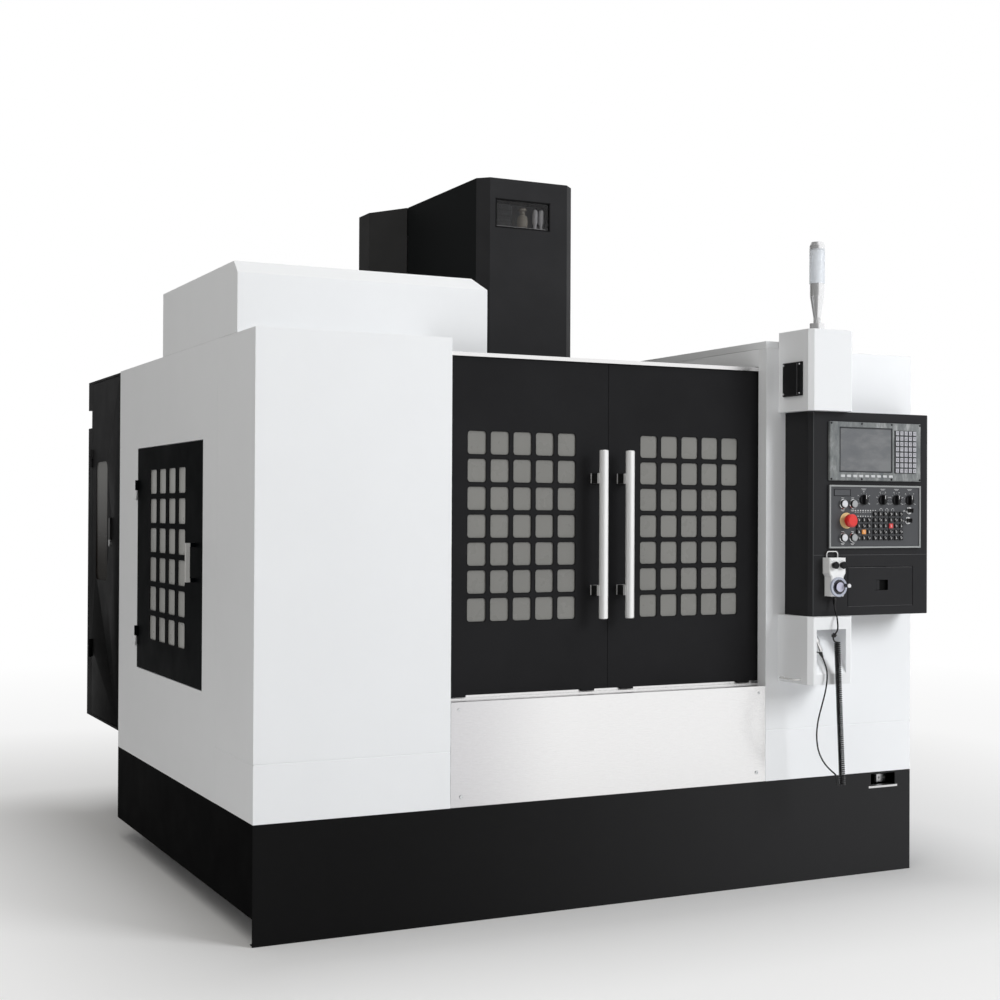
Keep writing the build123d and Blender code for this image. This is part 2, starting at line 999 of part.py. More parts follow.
# Saddle with its trucks on the bed ways and the ways for the table
way_top = bed_top + way_height
with BuildPart() as saddle:
    block(
        (-saddle_half_x, saddle_half_x),
        (front + spindle_y - saddle_half_y, front + spindle_y + saddle_half_y),
        (saddle_bottom, saddle_top),
    )
    block(
        (-y_way_x + truck_width, y_way_x - truck_width),
        (front + spindle_y - saddle_half_y, front + spindle_y + saddle_half_y),
        (saddle_bottom, saddle_bottom + saddle_tunnel),
        Mode.SUBTRACT,
    )
    for x in (-y_way_x, y_way_x):
        for y in (spindle_y - saddle_half_y + truck_length, spindle_y + saddle_half_y - truck_length):
            block(
                (x - truck_width / 2, x + truck_width / 2),
                (front + y - truck_length / 2, front + y + truck_length / 2),
                (bed_top + truck_lift, saddle_bottom),
            )
            block(
                (x - way_width / 2 - seat, x + way_width / 2 + seat),
                (front + y - truck_length / 2, front + y + truck_length / 2),
                (bed_top + truck_lift, way_top + seat),
                Mode.SUBTRACT,
            )
    for y in (spindle_y - x_way_y, spindle_y + x_way_y):
        block(
            (-saddle_half_x, saddle_half_x),
            (front + y - way_width / 2, front + y + way_width / 2),
            (saddle_top, saddle_top + way_height),
        )
    block(
        (-nut_half, nut_half),
        (front + spindle_y - nut_length / 2, front + spindle_y + nut_length / 2),
        (saddle_bottom, saddle_bottom + saddle_tunnel),
    )
    turned(
        (0, front + spindle_y - nut_length / 2, y_screw_z),
        (0, 1, 0),
        screw_radius + screw_clearance,
        nut_length,
        Mode.SUBTRACT,
    )
    x_screw_z = (saddle_top + table_bottom) / 2
    for x in (-saddle_half_x, saddle_half_x - bearing_length):
        block(
            (x, x + bearing_length),
            (front + spindle_y - bearing_half, front + spindle_y + bearing_half),
            (saddle_top, table_bottom - bearing_gap),
        )
    turned(
        (-saddle_half_x, front + spindle_y, x_screw_z), (1, 0, 0), screw_radius, 2 * saddle_half_x
    )
    block(
        (saddle_half_x, saddle_half_x + feed_motor_length),
        (front + spindle_y - cross_motor_half, front + spindle_y + cross_motor_half),
        (table_bottom - bearing_gap - cross_motor_height, table_bottom - bearing_gap),
    )
saddle.part.label = "saddle"
export_step(saddle.part, "parts/saddle.step")

# Work table with its tee slots, trucks on the saddle ways below it
with BuildPart() as table:
    block(
        (-table_half_x, table_half_x),
        (front + spindle_y - table_half_y, front + spindle_y + table_half_y),
        (table_bottom, table_top),
    )
    with BuildSketch(facing_right(-table_half_x)):
        with Locations((front + spindle_y, table_top)):
            with GridLocations(slot_pitch, 1, slot_count, 1):
                Rectangle(slot_width, slot_depth, align=(Align.CENTER, Align.MAX))
                with Locations((0, slot_head_depth - slot_depth)):
                    Rectangle(slot_head, slot_head_depth, align=(Align.CENTER, Align.MAX))
    extrude(amount=2 * table_half_x, mode=Mode.SUBTRACT)
    for x in (-table_truck_x, table_truck_x):
        for y in (spindle_y - x_way_y, spindle_y + x_way_y):
            block(
                (x - truck_length / 2, x + truck_length / 2),
                (front + y - truck_width / 2, front + y + truck_width / 2),
                (saddle_top + truck_lift, table_bottom),
            )
            block(
                (x - truck_length / 2, x + truck_length / 2),
                (front + y - way_width / 2 - seat, front + y + way_width / 2 + seat),
                (saddle_top + truck_lift, saddle_top + way_height + seat),
                Mode.SUBTRACT,
            )
    block(
        (-nut_length / 2, nut_length / 2),
        (front + spindle_y - nut_half, front + spindle_y + nut_half),
        (saddle_top + truck_lift, table_bottom),
    )
    turned(
        (-nut_length / 2, front + spindle_y, x_screw_z),
        (1, 0, 0),
        screw_radius + screw_clearance,
        nut_length,
        Mode.SUBTRACT,
    )
table.part.label = "table"
export_step(table.part, "parts/table.step")

# Spindle head: a casting that overhangs the table, with its motor on top
nose_z = table_top + nose_height
head_bottom = nose_z + head_rise
with BuildPart() as spindle_head:
    head_outline = [
        (front + column_face - head_stand, head_bottom - head_drop),
        (front + column_face - head_stand, head_bottom + head_height),
        (front + spindle_y - head_front, head_bottom + head_height),
        (front + spindle_y - head_front, head_bottom),
        (front + spindle_y + head_front, head_bottom),
    ]
    with BuildSketch(facing_right(-head_half)):
        with BuildLine():
            Polyline(*head_outline, close=True)
        make_face()
    extrude(amount=2 * head_half)
    nose_edges = spindle_head.edges().filter_by(Axis.Z).group_by(Axis.Y)[0]
    chamfer(nose_edges, head_bevel)
    for side in (-1, 1):
        block(
            span(side, z_way_x - truck_width / 2, z_way_x + truck_width / 2),
            (front + column_face - head_stand, front + column_face - truck_lift),
            (head_bottom - head_drop, head_bottom + head_height),
        )
        block(
            span(side, z_way_x - way_width / 2 - seat, z_way_x + way_width / 2 + seat),
            (front + column_face - way_height - seat, front + column_face - truck_lift),
            (head_bottom - head_drop, head_bottom + head_height),
            Mode.SUBTRACT,
        )
    block(
        (-nut_half, nut_half),
        (front + column_face - head_stand, front + column_face - truck_lift),
        (head_bottom, head_bottom + nut_length),
    )
    turned(
        (0, z_screw_y, head_bottom), (0, 0, 1), screw_radius + screw_clearance, nut_length, Mode.SUBTRACT
    )
    centre = (0, front + spindle_y)
    turned((*centre, nose_z + nose_length), (0, 0, 1), quill_radius, head_rise)
    turned((*centre, nose_z), (0, 0, 1), spindle_radius + spindle_clearance, spindle_length, Mode.SUBTRACT)
    motor_bottom = head_bottom + head_height
    block(
        (-motor_half, motor_half),
        (front + spindle_y - motor_half, front + spindle_y + motor_half),
        (motor_bottom, motor_bottom + motor_height),
    )
spindle_head.part.label = "spindle_head"
export_step(spindle_head.part, "parts/spindle_head.step")

# Head cover: a black hood that rides up and down with the head, open behind and below
with BuildPart() as head_cover:
    block(
        (-cover_half, cover_half),
        (front + cover_front, front + cover_rear),
        (cover_bottom, cover_top),
    )
    chamfer(head_cover.edges().filter_by(Axis.Z).group_by(Axis.Y)[0], cover_chamfer)
    below = head_cover.faces().sort_by(Axis.Z)[0]
    behind = head_cover.faces().sort_by(Axis.Y)[-1]
    offset(amount=-sheet, openings=[below, behind])
    block(
        (cover_window_left, cover_window_left + cover_window_width),
        (front + cover_front, front + cover_front + sheet),
        (cover_window_bottom, cover_window_bottom + cover_window_height),
        Mode.SUBTRACT,
    )
    for side in (-1, 1):
        block(
            span(side, head_half, cover_half - sheet),
            (front + spindle_y, front + spindle_y + cover_stay),
            (motor_bottom - cover_stay, motor_bottom),
        )
head_cover.part.label = "head_cover"
export_step(head_cover.part, "parts/head_cover.step")

# Spindle with its flange and taper socket
with BuildPart() as spindle:
    turned((0, front + spindle_y, nose_z), (0, 0, 1), spindle_radius, spindle_length - seat)
    turned((0, front + spindle_y, nose_z), (0, 0, 1), flange_radius, nose_length - spindle_gap)
    taper = [
        (0, 0),
        (taper_radius, 0),
        (taper_end_radius, taper_length),
        (0, taper_length),
    ]
    with BuildSketch(Plane.XZ.offset(-(front + spindle_y))):
        with BuildLine():
            Polyline(*[(x, nose_z + z) for x, z in taper], close=True)
        make_face()
    revolve(axis=Axis((0, front + spindle_y, 0), (0, 0, 1)), mode=Mode.SUBTRACT)
spindle.part.label = "spindle"
export_step(spindle.part, "parts/spindle.step")

# Tool magazine: a disc with a ring of tool pockets seated on its face
disc_place = (disc_x, front + disc_y, disc_z)
pocket_place = (disc_x + disc_depth + seat, front + disc_y, disc_z)
with BuildPart() as tool_magazine:
    turned(disc_place, (1, 0, 0), disc_radius, disc_depth)
    with BuildSketch(Plane(origin=pocket_place, x_dir=(0, 1, 0), z_dir=(1, 0, 0))):
        with PolarLocations(disc_radius - pocket_radius - pocket_rim, pocket_count):
            Circle(pocket_radius)
    extrude(amount=pocket_length)
    turned(disc_place, (1, 0, 0), hub_radius + hub_clearance, disc_depth, Mode.SUBTRACT)
tool_magazine.part.label = "tool_magazine"
export_step(tool_magazine.part, "parts/tool_magazine.step")

# Magazine frame: an arm from the column's flank to the shaft of the disc
with BuildPart() as magazine_frame:
    arm_plan = [
        (disc_x - seat - arm_depth, front + disc_y - arm_reach),
        (disc_x - seat, front + disc_y - arm_reach),
        (disc_x - seat, front + column_face + arm_foot - arm_depth),
        (-column_half, front + column_face + arm_foot - arm_depth),
        (-column_half, front + column_face + arm_foot),
        (disc_x - seat - arm_depth, front + column_face + arm_foot),
    ]
    with BuildSketch(Plane.XY.offset(disc_z - arm_height)):
        with BuildLine():
            Polyline(*arm_plan, close=True)
        make_face()
    extrude(amount=arm_rise)
    hub_place = (disc_x - seat, front + disc_y, disc_z)
    turned(hub_place, (-1, 0, 0), hub_radius + hub_lip, arm_depth)
    turned(hub_place, (1, 0, 0), hub_radius, disc_depth + 2 * seat)
    cap_place = (disc_x + disc_depth + seat, front + disc_y, disc_z)
    turned(cap_place, (1, 0, 0), hub_radius + hub_lip, hub_cap)
magazine_frame.part.label = "magazine_frame"
export_step(magazine_frame.part, "parts/magazine_frame.step")

# The plug hangs from a socket in the recess and ends where the lower lead starts
plug_end = Vector(*route(lower_points)[-1])
plug_axis = (plug_end - Vector(*route(lower_points)[-2])).normalized() * -1
plug_place = plug_end - plug_axis * plug_length
socket_place = plug_place - plug_axis * socket_length

# Two white blocks on the right column hold the control box, with a bow handle on the lower one
block_front = front - block_reach
with BuildPart() as control_pillar:
    block((block_left, block_right), (block_front, front), (box_top, upper_block_top))
    block((block_left, block_right), (block_front, front), (lower_block_bottom, box_bottom))
    chamfer(control_pillar.edges().filter_by(Axis.Z).group_by(Axis.Y)[0], block_chamfer)
    wedge = [
        (block_front, recess_bottom),
        (block_front, recess_bottom + recess_height),
        (block_front + recess_depth, recess_bottom + recess_height),
    ]
    with BuildSketch(facing_right(recess_left)):
        with BuildLine():
            Polyline(*wedge, close=True)
        make_face()
    extrude(amount=recess_width, mode=Mode.SUBTRACT)
    turned(socket_place, plug_axis, plug_radius, socket_length)
    bow = [
        (block_left + bow_radius, front - bow_rear, bow_z),
        (block_left - bow_reach, front - bow_rear, bow_z),
        (block_left - bow_reach, front - bow_front, bow_z),
        (block_left + bow_radius, front - bow_front, bow_z),
    ]
    with BuildLine():
        FilletPolyline(*bow, radius=bow_bend)
    with BuildSketch(Plane(origin=bow[0], z_dir=(-1, 0, 0))):
        Circle(bow_radius)
    sweep()
control_pillar.part.label = "control_pillar"
export_step(control_pillar.part, "parts/control_pillar.step")

# Fan cover on the left of the upper block, with a groove near its front edge
vent_outer = block_left - vent_depth
groove_low = front - vent_front + vent_groove_inset
with BuildPart() as vent_cover:
    block((vent_outer, block_left), (front - vent_front, front - vent_rear), (vent_bottom, vent_top))
    chamfer(vent_cover.faces().sort_by(Axis.X)[0].edges(), vent_bevel)
    block(
        (vent_outer, vent_outer + vent_groove_depth),
        (groove_low, groove_low + vent_groove),
        (vent_bottom + vent_rim, vent_top - vent_rim),
        Mode.SUBTRACT,
    )
vent_cover.part.label = "vent_cover"
export_step(vent_cover.part, "parts/vent_cover.step")

# Tower light: foot and tapered stem, and the cap over the lens
tower_place = (tower_x, front - tower_y, upper_block_top)
stem_height = tower_lens_bottom - upper_block_top
with BuildPart() as tower_light_base:
    outline = [
        (0, 0),
        (tower_foot, 0),
        (tower_foot, tower_foot_height),
        (tower_neck, tower_foot_height),
        (tower_neck, tower_foot_height + tower_neck_height),
        (tower_shoulder, tower_shoulder_height),
        (tower_shoulder, stem_height),
        (0, stem_height),
    ]
    revolved(tower_place, (0, 0, 1), outline)
    cap_low = tower_lens_top - upper_block_top
    cap_high = tower_tip - upper_block_top
    cap = [
        (0, cap_low),
        (tower_lens_radius, cap_low),
        (tower_lens_radius, (cap_low + cap_high) / 2),
        (tower_lens_radius * 0.8, cap_high),
        (0, cap_high),
    ]
    revolved(tower_place, (0, 0, 1), cap)
tower_light_base.part.label = "tower_light_base"
export_step(tower_light_base.part, "parts/tower_light_base.step")

with BuildPart() as tower_light_lens:
    turned(
        (tower_x, front - tower_y, tower_lens_bottom),
        (0, 0, 1),
        tower_lens_radius,
        tower_lens_top - tower_lens_bottom,
    )
tower_light_lens.part.label = "tower_light_lens"
export_step(tower_light_lens.part, "parts/tower_light_lens.step")

# Control box: a closed housing with bevelled front uprights and a bay for the drawer
box_front = front - box_reach
with BuildPart() as control_box:
    block((box_left, box_right), (box_front, front), (box_bottom, box_top))
    chamfer(control_box.edges().filter_by(Axis.Z).group_by(Axis.Y)[0], box_chamfer)
    block(
        (drawer_left, drawer_right),
        (box_front, box_front + drawer_depth),
        (drawer_bottom, drawer_top),
        Mode.SUBTRACT,
    )
control_box.part.label = "control_box"
export_step(control_box.part, "parts/control_box.step")

# Display unit with its sunk screen
with BuildPart() as display_unit:
    block(
        (panel_left, panel_right),
        (box_front - display_depth, box_front),
        (display_bottom, display_top),
    )
    chamfer(display_unit.faces().sort_by(Axis.Y)[0].edges(), display_bevel)
    block(
        (screen_left, screen_right),
        (box_front - display_depth, box_front - display_depth + screen_recess),
        (screen_bottom, screen_top),
        Mode.SUBTRACT,
    )
display_unit.part.label = "display_unit"
export_step(display_unit.part, "parts/display_unit.step")

# Operator panel: a plate with a raised rim and clear holes for its stems
operator_front = box_front - operator_depth
stem_places = [*button_places, *knob_places, *switch_places, (stop_x, stop_z)]
with BuildPart() as operator_panel:
    block((panel_left, panel_right), (operator_front, box_front), (operator_bottom, operator_top))
    with BuildSketch(facing_front(operator_front)):
        with Locations(((panel_left + panel_right) / 2, (operator_bottom + operator_top) / 2)):
            Rectangle(panel_right - panel_left, operator_top - operator_bottom)
            Rectangle(
                panel_right - panel_left - 2 * frame_width,
                operator_top - operator_bottom - 2 * frame_width,
                mode=Mode.SUBTRACT,
            )
    extrude(amount=frame_depth)
    turned((stop_x, operator_front, stop_z), (0, -1, 0), stop_collar, stop_collar_depth)
    with BuildSketch(facing_front(box_front)):
        with Locations(*stem_places):
            Circle(stem_radius + stem_clearance)
    extrude(amount=operator_depth + stop_collar_depth, mode=Mode.SUBTRACT)
operator_panel.part.label = "operator_panel"
export_step(operator_panel.part, "parts/operator_panel.step")

# Moulded key pads: one on the display unit and three groups on the operator panel
with BuildPart() as keypads:
    with BuildSketch(facing_front(box_front - display_depth)):
        with Locations((mdi_middle_x, mdi_middle_z)):
            Rectangle(mdi_columns * mdi_pitch_x, mdi_rows * mdi_pitch_z)
    extrude(amount=pad_depth)
    with BuildSketch(facing_front(box_front - display_depth - pad_depth)):
        with Locations((mdi_middle_x, mdi_middle_z)):
            with GridLocations(mdi_pitch_x, mdi_pitch_z, mdi_columns, mdi_rows):
                Rectangle(mdi_key, mdi_key)
    extrude(amount=key_depth)
    for group_x, rows in zip(pad_places_x, pad_rows):
        middle = (group_x, pad_bottom + rows * pad_pitch_z / 2)
        with BuildSketch(facing_front(operator_front)):
            with Locations(middle):
                Rectangle((pad_columns - 1) * pad_pitch_x + pad_key, rows * pad_pitch_z)
        extrude(amount=pad_depth)
        with BuildSketch(facing_front(operator_front - pad_depth)):
            with Locations(middle):
                with GridLocations(pad_pitch_x, pad_pitch_z, pad_columns, rows):
                    Rectangle(pad_key, pad_key)
        extrude(amount=key_depth)
keypads.part.label = "keypads"
export_step(keypads.part, "parts/keypads.step")

# Round push buttons, proud of the panel by their travel
ahead = (0, -1, 0)
stem_end = box_front - seat
for number, (x, z) in enumerate(button_places, 1):
    with BuildPart() as push_button:
        turned((x, operator_front - button_travel - seat, z), ahead, button_radius, button_depth)
        turned((x, stem_end - button_travel, z), ahead, stem_radius, stem_end - operator_front + seat)
        chamfer(push_button.edges().filter_by(GeomType.CIRCLE).sort_by(Axis.Y)[0], button_bevel)
    push_button.part.label = f"push_button_{number}"
    export_step(push_button.part, f"parts/push_button_{number}.step")

# Emergency stop with its mushroom head
with BuildPart() as emergency_stop:
    stop_stem_end = stop_travel - operator_depth + seat
    stop_low = stop_collar_depth + stop_travel + seat
    outline = [
        (0, stop_stem_end),
        (stem_radius, stop_stem_end),
        (stem_radius, stop_low),
        (stop_neck, stop_low),
        (stop_neck, stop_low + stop_neck_length),
        (stop_radius, stop_low + stop_neck_length + stop_flare),
        (stop_radius, stop_length - stop_flare),
        (stop_radius - stop_flare, stop_length),
        (0, stop_length),
    ]
    revolved((stop_x, operator_front, stop_z), ahead, outline)
emergency_stop.part.label = "emergency_stop"
export_step(emergency_stop.part, "parts/emergency_stop.step")

# Selector knobs: a skirt with a grip bar across it
for number, (x, z) in enumerate(knob_places, 1):
    with BuildPart() as selector_knob:
        turned((x, operator_front - seat, z), ahead, knob_radius, knob_skirt)
        turned((x, stem_end, z), ahead, stem_radius, stem_end - operator_front + seat)
        block(
            (x - knob_grip / 2, x + knob_grip / 2),
            (operator_front - seat - knob_depth, operator_front - seat - knob_skirt),
            (z - knob_grip_half, z + knob_grip_half),
        )
        chamfer(selector_knob.faces().sort_by(Axis.Y)[0].edges(), knob_bevel)
    selector_knob.part.label = f"selector_knob_{number}"
    export_step(selector_knob.part, f"parts/selector_knob_{number}.step")

# Key switches: a round barrel with the key standing out of it
for number, (x, z) in enumerate(switch_places, 1):
    with BuildPart() as key_switch:
        turned((x, operator_front - seat, z), ahead, switch_radius, switch_depth)
        turned((x, stem_end, z), ahead, stem_radius, stem_end - operator_front + seat)
        block(
            (x - key_thickness / 2, x + key_thickness / 2),
            (operator_front - seat - switch_depth - key_reach, operator_front - seat - switch_depth),
            (z - key_width / 2, z + key_width / 2),
        )
    key_switch.part.label = f"key_switch_{number}"
    export_step(key_switch.part, f"parts/key_switch_{number}.step")

# Drawer under the panel, a tray with a pull let into its front
with BuildPart() as operator_drawer:
    drawer_x = (drawer_left + drawer_gap, drawer_right - drawer_gap)
    drawer_z = (drawer_bottom + seat, drawer_top - drawer_gap)
    block(drawer_x, (box_front, box_front + drawer_depth - drawer_gap), drawer_z)
    block(
        (drawer_x[0] + drawer_wall, drawer_x[1] - drawer_wall),
        (box_front + drawer_face, box_front + drawer_depth - drawer_gap - drawer_wall),
        (drawer_z[0] + drawer_wall, drawer_z[1]),
        Mode.SUBTRACT,
    )
    block(
        (pull_x - pull_width / 2, pull_x + pull_width / 2),
        (box_front, box_front + pull_depth),
        (pull_z - pull_height / 2, pull_z + pull_height / 2),
        Mode.SUBTRACT,
    )
operator_drawer.part.label = "operator_drawer"
export_step(operator_drawer.part, "parts/operator_drawer.step")

# Handwheel pendant: tapered body, two fixed knobs and the wire hook on its back
pendant_rear = box_front - seat
pendant_front = pendant_rear - pendant_depth
with BuildPart() as pendant_body:
    shape = [
        (-pendant_width / 2, pendant_top),
        (-pendant_width / 2, pendant_shoulder),
        (-pendant_waist / 2, pendant_shoulder - pendant_taper),
        (-pendant_waist / 2, pendant_bottom),
        (pendant_waist / 2, pendant_bottom),
        (pendant_waist / 2, pendant_shoulder - pendant_taper),
        (pendant_width / 2, pendant_shoulder),
        (pendant_width / 2, pendant_top),
    ]
    with BuildSketch(facing_front(pendant_rear)):
        with BuildLine():
            Polyline(*[(pendant_x + x, z) for x, z in shape], close=True)
        make_face()
    extrude(amount=pendant_depth)
    chamfer(pendant_body.faces().sort_by(Axis.Y)[0].edges(), pendant_bevel)
    for side in (-1, 1):
        turned(
            (pendant_x + side * pendant_knob_x, pendant_front, pendant_knob_z),
            ahead,
            pendant_knob_radius,
            pendant_knob_depth,
        )
    hook_y = pendant_rear - hook_radius - hook_offset
    hook_half = hook_width / 2 - hook_radius
    hook = [
        (pendant_x - hook_half, hook_y, pendant_top - hook_radius),
        (pendant_x - hook_half, hook_y, pendant_top + hook_height - hook_radius),
        (pendant_x + hook_half, hook_y, pendant_top + hook_height - hook_radius),
        (pendant_x + hook_half, hook_y, pendant_top - hook_radius),
    ]
    with BuildLine():
        FilletPolyline(*hook, radius=hook_bend)
    with BuildSketch(Plane(origin=hook[0], z_dir=(0, 0, 1))):
        Circle(hook_radius)
    sweep()
    gland_end = route(upper_points)[0]
    turned(gland_end, (0, 0, 1), gland_radius, pendant_bottom - gland_end[2])
pendant_body.part.label = "pendant_body"
export_step(pendant_body.part, "parts/pendant_body.step")

# Hand dial of the pendant with its crank
with BuildPart() as pendant_dial:
    dial_place = (pendant_x, pendant_front - seat, dial_z)
    outline = [
        (0, 0),
        (dial_radius, 0),
        (dial_radius, dial_rim),
        (dial_hub, dial_rim),
        (dial_hub, dial_depth - seat),
        (0, dial_depth - seat),
    ]
    revolved(dial_place, ahead, outline)
    turned(
        (pendant_x + crank_offset, dial_place[1] - dial_rim, dial_z + crank_rise),
        ahead,
        crank_radius,
        dial_depth - dial_rim - seat + crank_length,
    )
pendant_dial.part.label = "pendant_dial"
export_step(pendant_dial.part, "parts/pendant_dial.step")

# Plug of the pendant cord, hung from the socket in the recess
with BuildPart() as pendant_plug:
    outline = [
        (0, 0),
        (plug_radius + plug_rib, 0),
        (plug_radius + plug_rib, plug_nut),
        (plug_radius, plug_nut),
        (plug_radius, plug_length - plug_boot),
        (plug_boot_radius, plug_length - plug_boot),
        (cord_radius + 1, plug_length),
        (0, plug_length),
    ]
    revolved(plug_place, plug_axis, outline)
pendant_plug.part.label = "pendant_plug"
export_step(pendant_plug.part, "parts/pendant_plug.step")

# Cord of the pendant: a thin lead, the curly stretch and a thin lead to the plug
with BuildPart() as upper_lead:
    upper_length = tube(route(upper_points), cord_radius)
upper_lead.part.label = "upper_lead"
export_step(upper_lead.part, "parts/upper_lead.step")

with BuildPart() as curly_cord:
    curly_length = tube(route(coil_points), coil_radius)
curly_cord.part.label = "curly_cord"
export_step(curly_cord.part, "parts/curly_cord.step")

with BuildPart() as lower_lead:
    lower_length = tube(route(lower_points), cord_radius)
lower_lead.part.label = "lower_lead"
export_step(lower_lead.part, "parts/lower_lead.step")

for points in (upper_points, coil_points, lower_points):
    print("cord radii", [round(radius) for radius in corner_radii(route(points))])
for length, lead in ((upper_length, upper_lead), (lower_length, lower_lead)):
    print("cord volume", round(lead.part.volume), round(length * pi * cord_radius**2))
print("curly volume", round(curly_cord.part.volume), round(curly_length * pi * coil_radius**2))
print("lengths", round(upper_length), round(curly_length), round(lower_length))

# Electrical cabinet, open on the left for its door, with a notch let into its rear corner
cabinet_rear = front + body_depth + cabinet_depth
cabinet_x = (-half, -half + cabinet_width)
cabinet_y = (front + body_depth, cabinet_rear)
door_y = (cabinet_y[0] + cabinet_rim_front, cabinet_rear - cabinet_rim_rear)
door_z = (cabinet_bottom + cabinet_rim, cabinet_top - cabinet_rim)
cabinet_hinge_y = door_y[1] + sheet_gap / 2
cabinet_hinges = (
    door_z[0] + cabinet_hinge_inset,
    door_z[1] - cabinet_hinge_inset - knuckle_length,
)
with BuildPart() as cabinet_shell:
    block(cabinet_x, cabinet_y, (cabinet_bottom, cabinet_top))
    block(
        (cabinet_x[0] + sheet, cabinet_x[1] - sheet),
        (cabinet_y[0] + sheet, cabinet_y[1] - sheet),
        (cabinet_bottom + sheet, cabinet_top - sheet),
        Mode.SUBTRACT,
    )
    block(
        (cabinet_x[0], cabinet_x[0] + sheet),
        (door_y[0] - sheet_gap, door_y[1] + sheet_gap),
        (door_z[0] - sheet_gap, door_z[1] + sheet_gap),
        Mode.SUBTRACT,
    )
    block(
        (-half, -half + notch_width + sheet),
        (cabinet_rear - notch_depth - sheet, cabinet_rear),
        (notch_bottom - sheet, notch_bottom + notch_height + sheet),
    )
    block(
        (-half, -half + notch_width),
        (cabinet_rear - notch_depth, cabinet_rear),
        (notch_bottom, notch_bottom + notch_height),
        Mode.SUBTRACT,
    )
    for height in cabinet_hinges:
        fixed_hinge(-1, cabinet_hinge_y, height, cabinet_leaf)
    block(
        (cabinet_x[1] - sheet - rack_depth, cabinet_x[1] - sheet),
        (cabinet_y[0] + rack_inset, cabinet_y[1] - rack_inset),
        (cabinet_bottom + rack_inset, cabinet_top - rack_inset),
    )
    for index in range(drive_count):
        low = cabinet_y[0] + rack_inset + drive_inset + index * drive_pitch
        block(
            (cabinet_x[1] - sheet - rack_depth - drive_depth, cabinet_x[1] - sheet - rack_depth),
            (low, low + drive_width),
            (drive_bottom, drive_bottom + drive_height),
        )
cabinet_shell.part.label = "cabinet_shell"
export_step(cabinet_shell.part, "parts/cabinet_shell.step")

# Cabinet door with a tall sight glass behind a slot with rounded corners
lever_place_y = cabinet_y[0] + lever_inset
sight_y = (cabinet_y[0] + sight_inset, cabinet_y[0] + sight_inset + sight_width)
with BuildPart() as cabinet_door:
    tray((-half, -half + cabinet_door_depth), door_y, door_z, sheet, "right")
    with BuildSketch(facing_right(-half)):
        with Locations(((sight_y[0] + sight_y[1]) / 2, (sight_bottom + sight_top) / 2)):
            RectangleRounded(sight_width, sight_top - sight_bottom, sight_corner)
    extrude(amount=sheet, mode=Mode.SUBTRACT)
    block(
        (-half + sheet, -half + sheet + pane_depth),
        (sight_y[0] - pane_rim, sight_y[1] + pane_rim),
        (sight_bottom - pane_rim, sight_top + pane_rim),
    )
    for height in cabinet_hinges:
        door_hinge(-1, cabinet_hinge_y, height, cabinet_leaf)
    turned(
        (-half, lever_place_y, lever_pivot_z),
        (1, 0, 0),
        stem_radius + stem_clearance,
        sheet,
        Mode.SUBTRACT,
    )
cabinet_door.part.label = "cabinet_door"
export_step(cabinet_door.part, "parts/cabinet_door.step")

# Lever that works the latch of the cabinet
with BuildPart() as cabinet_lever:
    turned((-half + lever_stem, lever_place_y, lever_pivot_z), (-1, 0, 0), stem_radius, lever_stem + seat)
    with BuildSketch(facing_right(-half - seat - lever_depth)):
        with Locations((lever_place_y, lever_pivot_z - lever_length / 2)):
            SlotCenterToCenter(lever_length, lever_width, rotation=90)
    extrude(amount=lever_depth)
cabinet_lever.part.label = "cabinet_lever"
export_step(cabinet_lever.part, "parts/cabinet_lever.step")
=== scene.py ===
import json
import math

import bmesh
import bpy
from mathutils import Matrix, Vector


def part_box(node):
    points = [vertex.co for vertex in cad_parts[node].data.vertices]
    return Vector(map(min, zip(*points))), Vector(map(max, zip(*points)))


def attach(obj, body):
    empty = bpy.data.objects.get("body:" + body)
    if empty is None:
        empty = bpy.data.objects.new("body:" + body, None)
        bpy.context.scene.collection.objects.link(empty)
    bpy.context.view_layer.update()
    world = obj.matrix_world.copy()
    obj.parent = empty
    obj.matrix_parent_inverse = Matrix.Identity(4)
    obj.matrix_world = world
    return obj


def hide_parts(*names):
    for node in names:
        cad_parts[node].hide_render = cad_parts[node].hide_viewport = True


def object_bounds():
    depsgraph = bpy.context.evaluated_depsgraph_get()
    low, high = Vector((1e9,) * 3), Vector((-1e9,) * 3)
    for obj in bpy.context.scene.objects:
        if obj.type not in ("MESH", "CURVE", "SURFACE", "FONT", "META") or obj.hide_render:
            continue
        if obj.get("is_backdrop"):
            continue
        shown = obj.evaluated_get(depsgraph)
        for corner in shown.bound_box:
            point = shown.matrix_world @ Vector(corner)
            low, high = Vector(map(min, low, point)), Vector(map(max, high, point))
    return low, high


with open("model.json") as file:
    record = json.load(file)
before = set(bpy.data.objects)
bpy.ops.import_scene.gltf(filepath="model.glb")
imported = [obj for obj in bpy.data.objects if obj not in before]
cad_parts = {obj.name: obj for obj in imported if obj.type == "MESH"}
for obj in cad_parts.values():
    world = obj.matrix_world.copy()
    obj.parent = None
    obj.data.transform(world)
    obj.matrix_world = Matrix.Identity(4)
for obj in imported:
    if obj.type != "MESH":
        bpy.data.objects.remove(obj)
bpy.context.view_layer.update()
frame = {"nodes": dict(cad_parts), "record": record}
nodes = frame["nodes"]
scene = bpy.context.scene

MM = 1000  # millimetres in a metre
ENDLESS = 9.0  # a limit that lies beyond the machine
AHEAD, BEHIND, UP = (0, -1, 0), (0, 1, 0), (0, 0, 1)
SIDES = ((-1, "left"), (1, "right"))

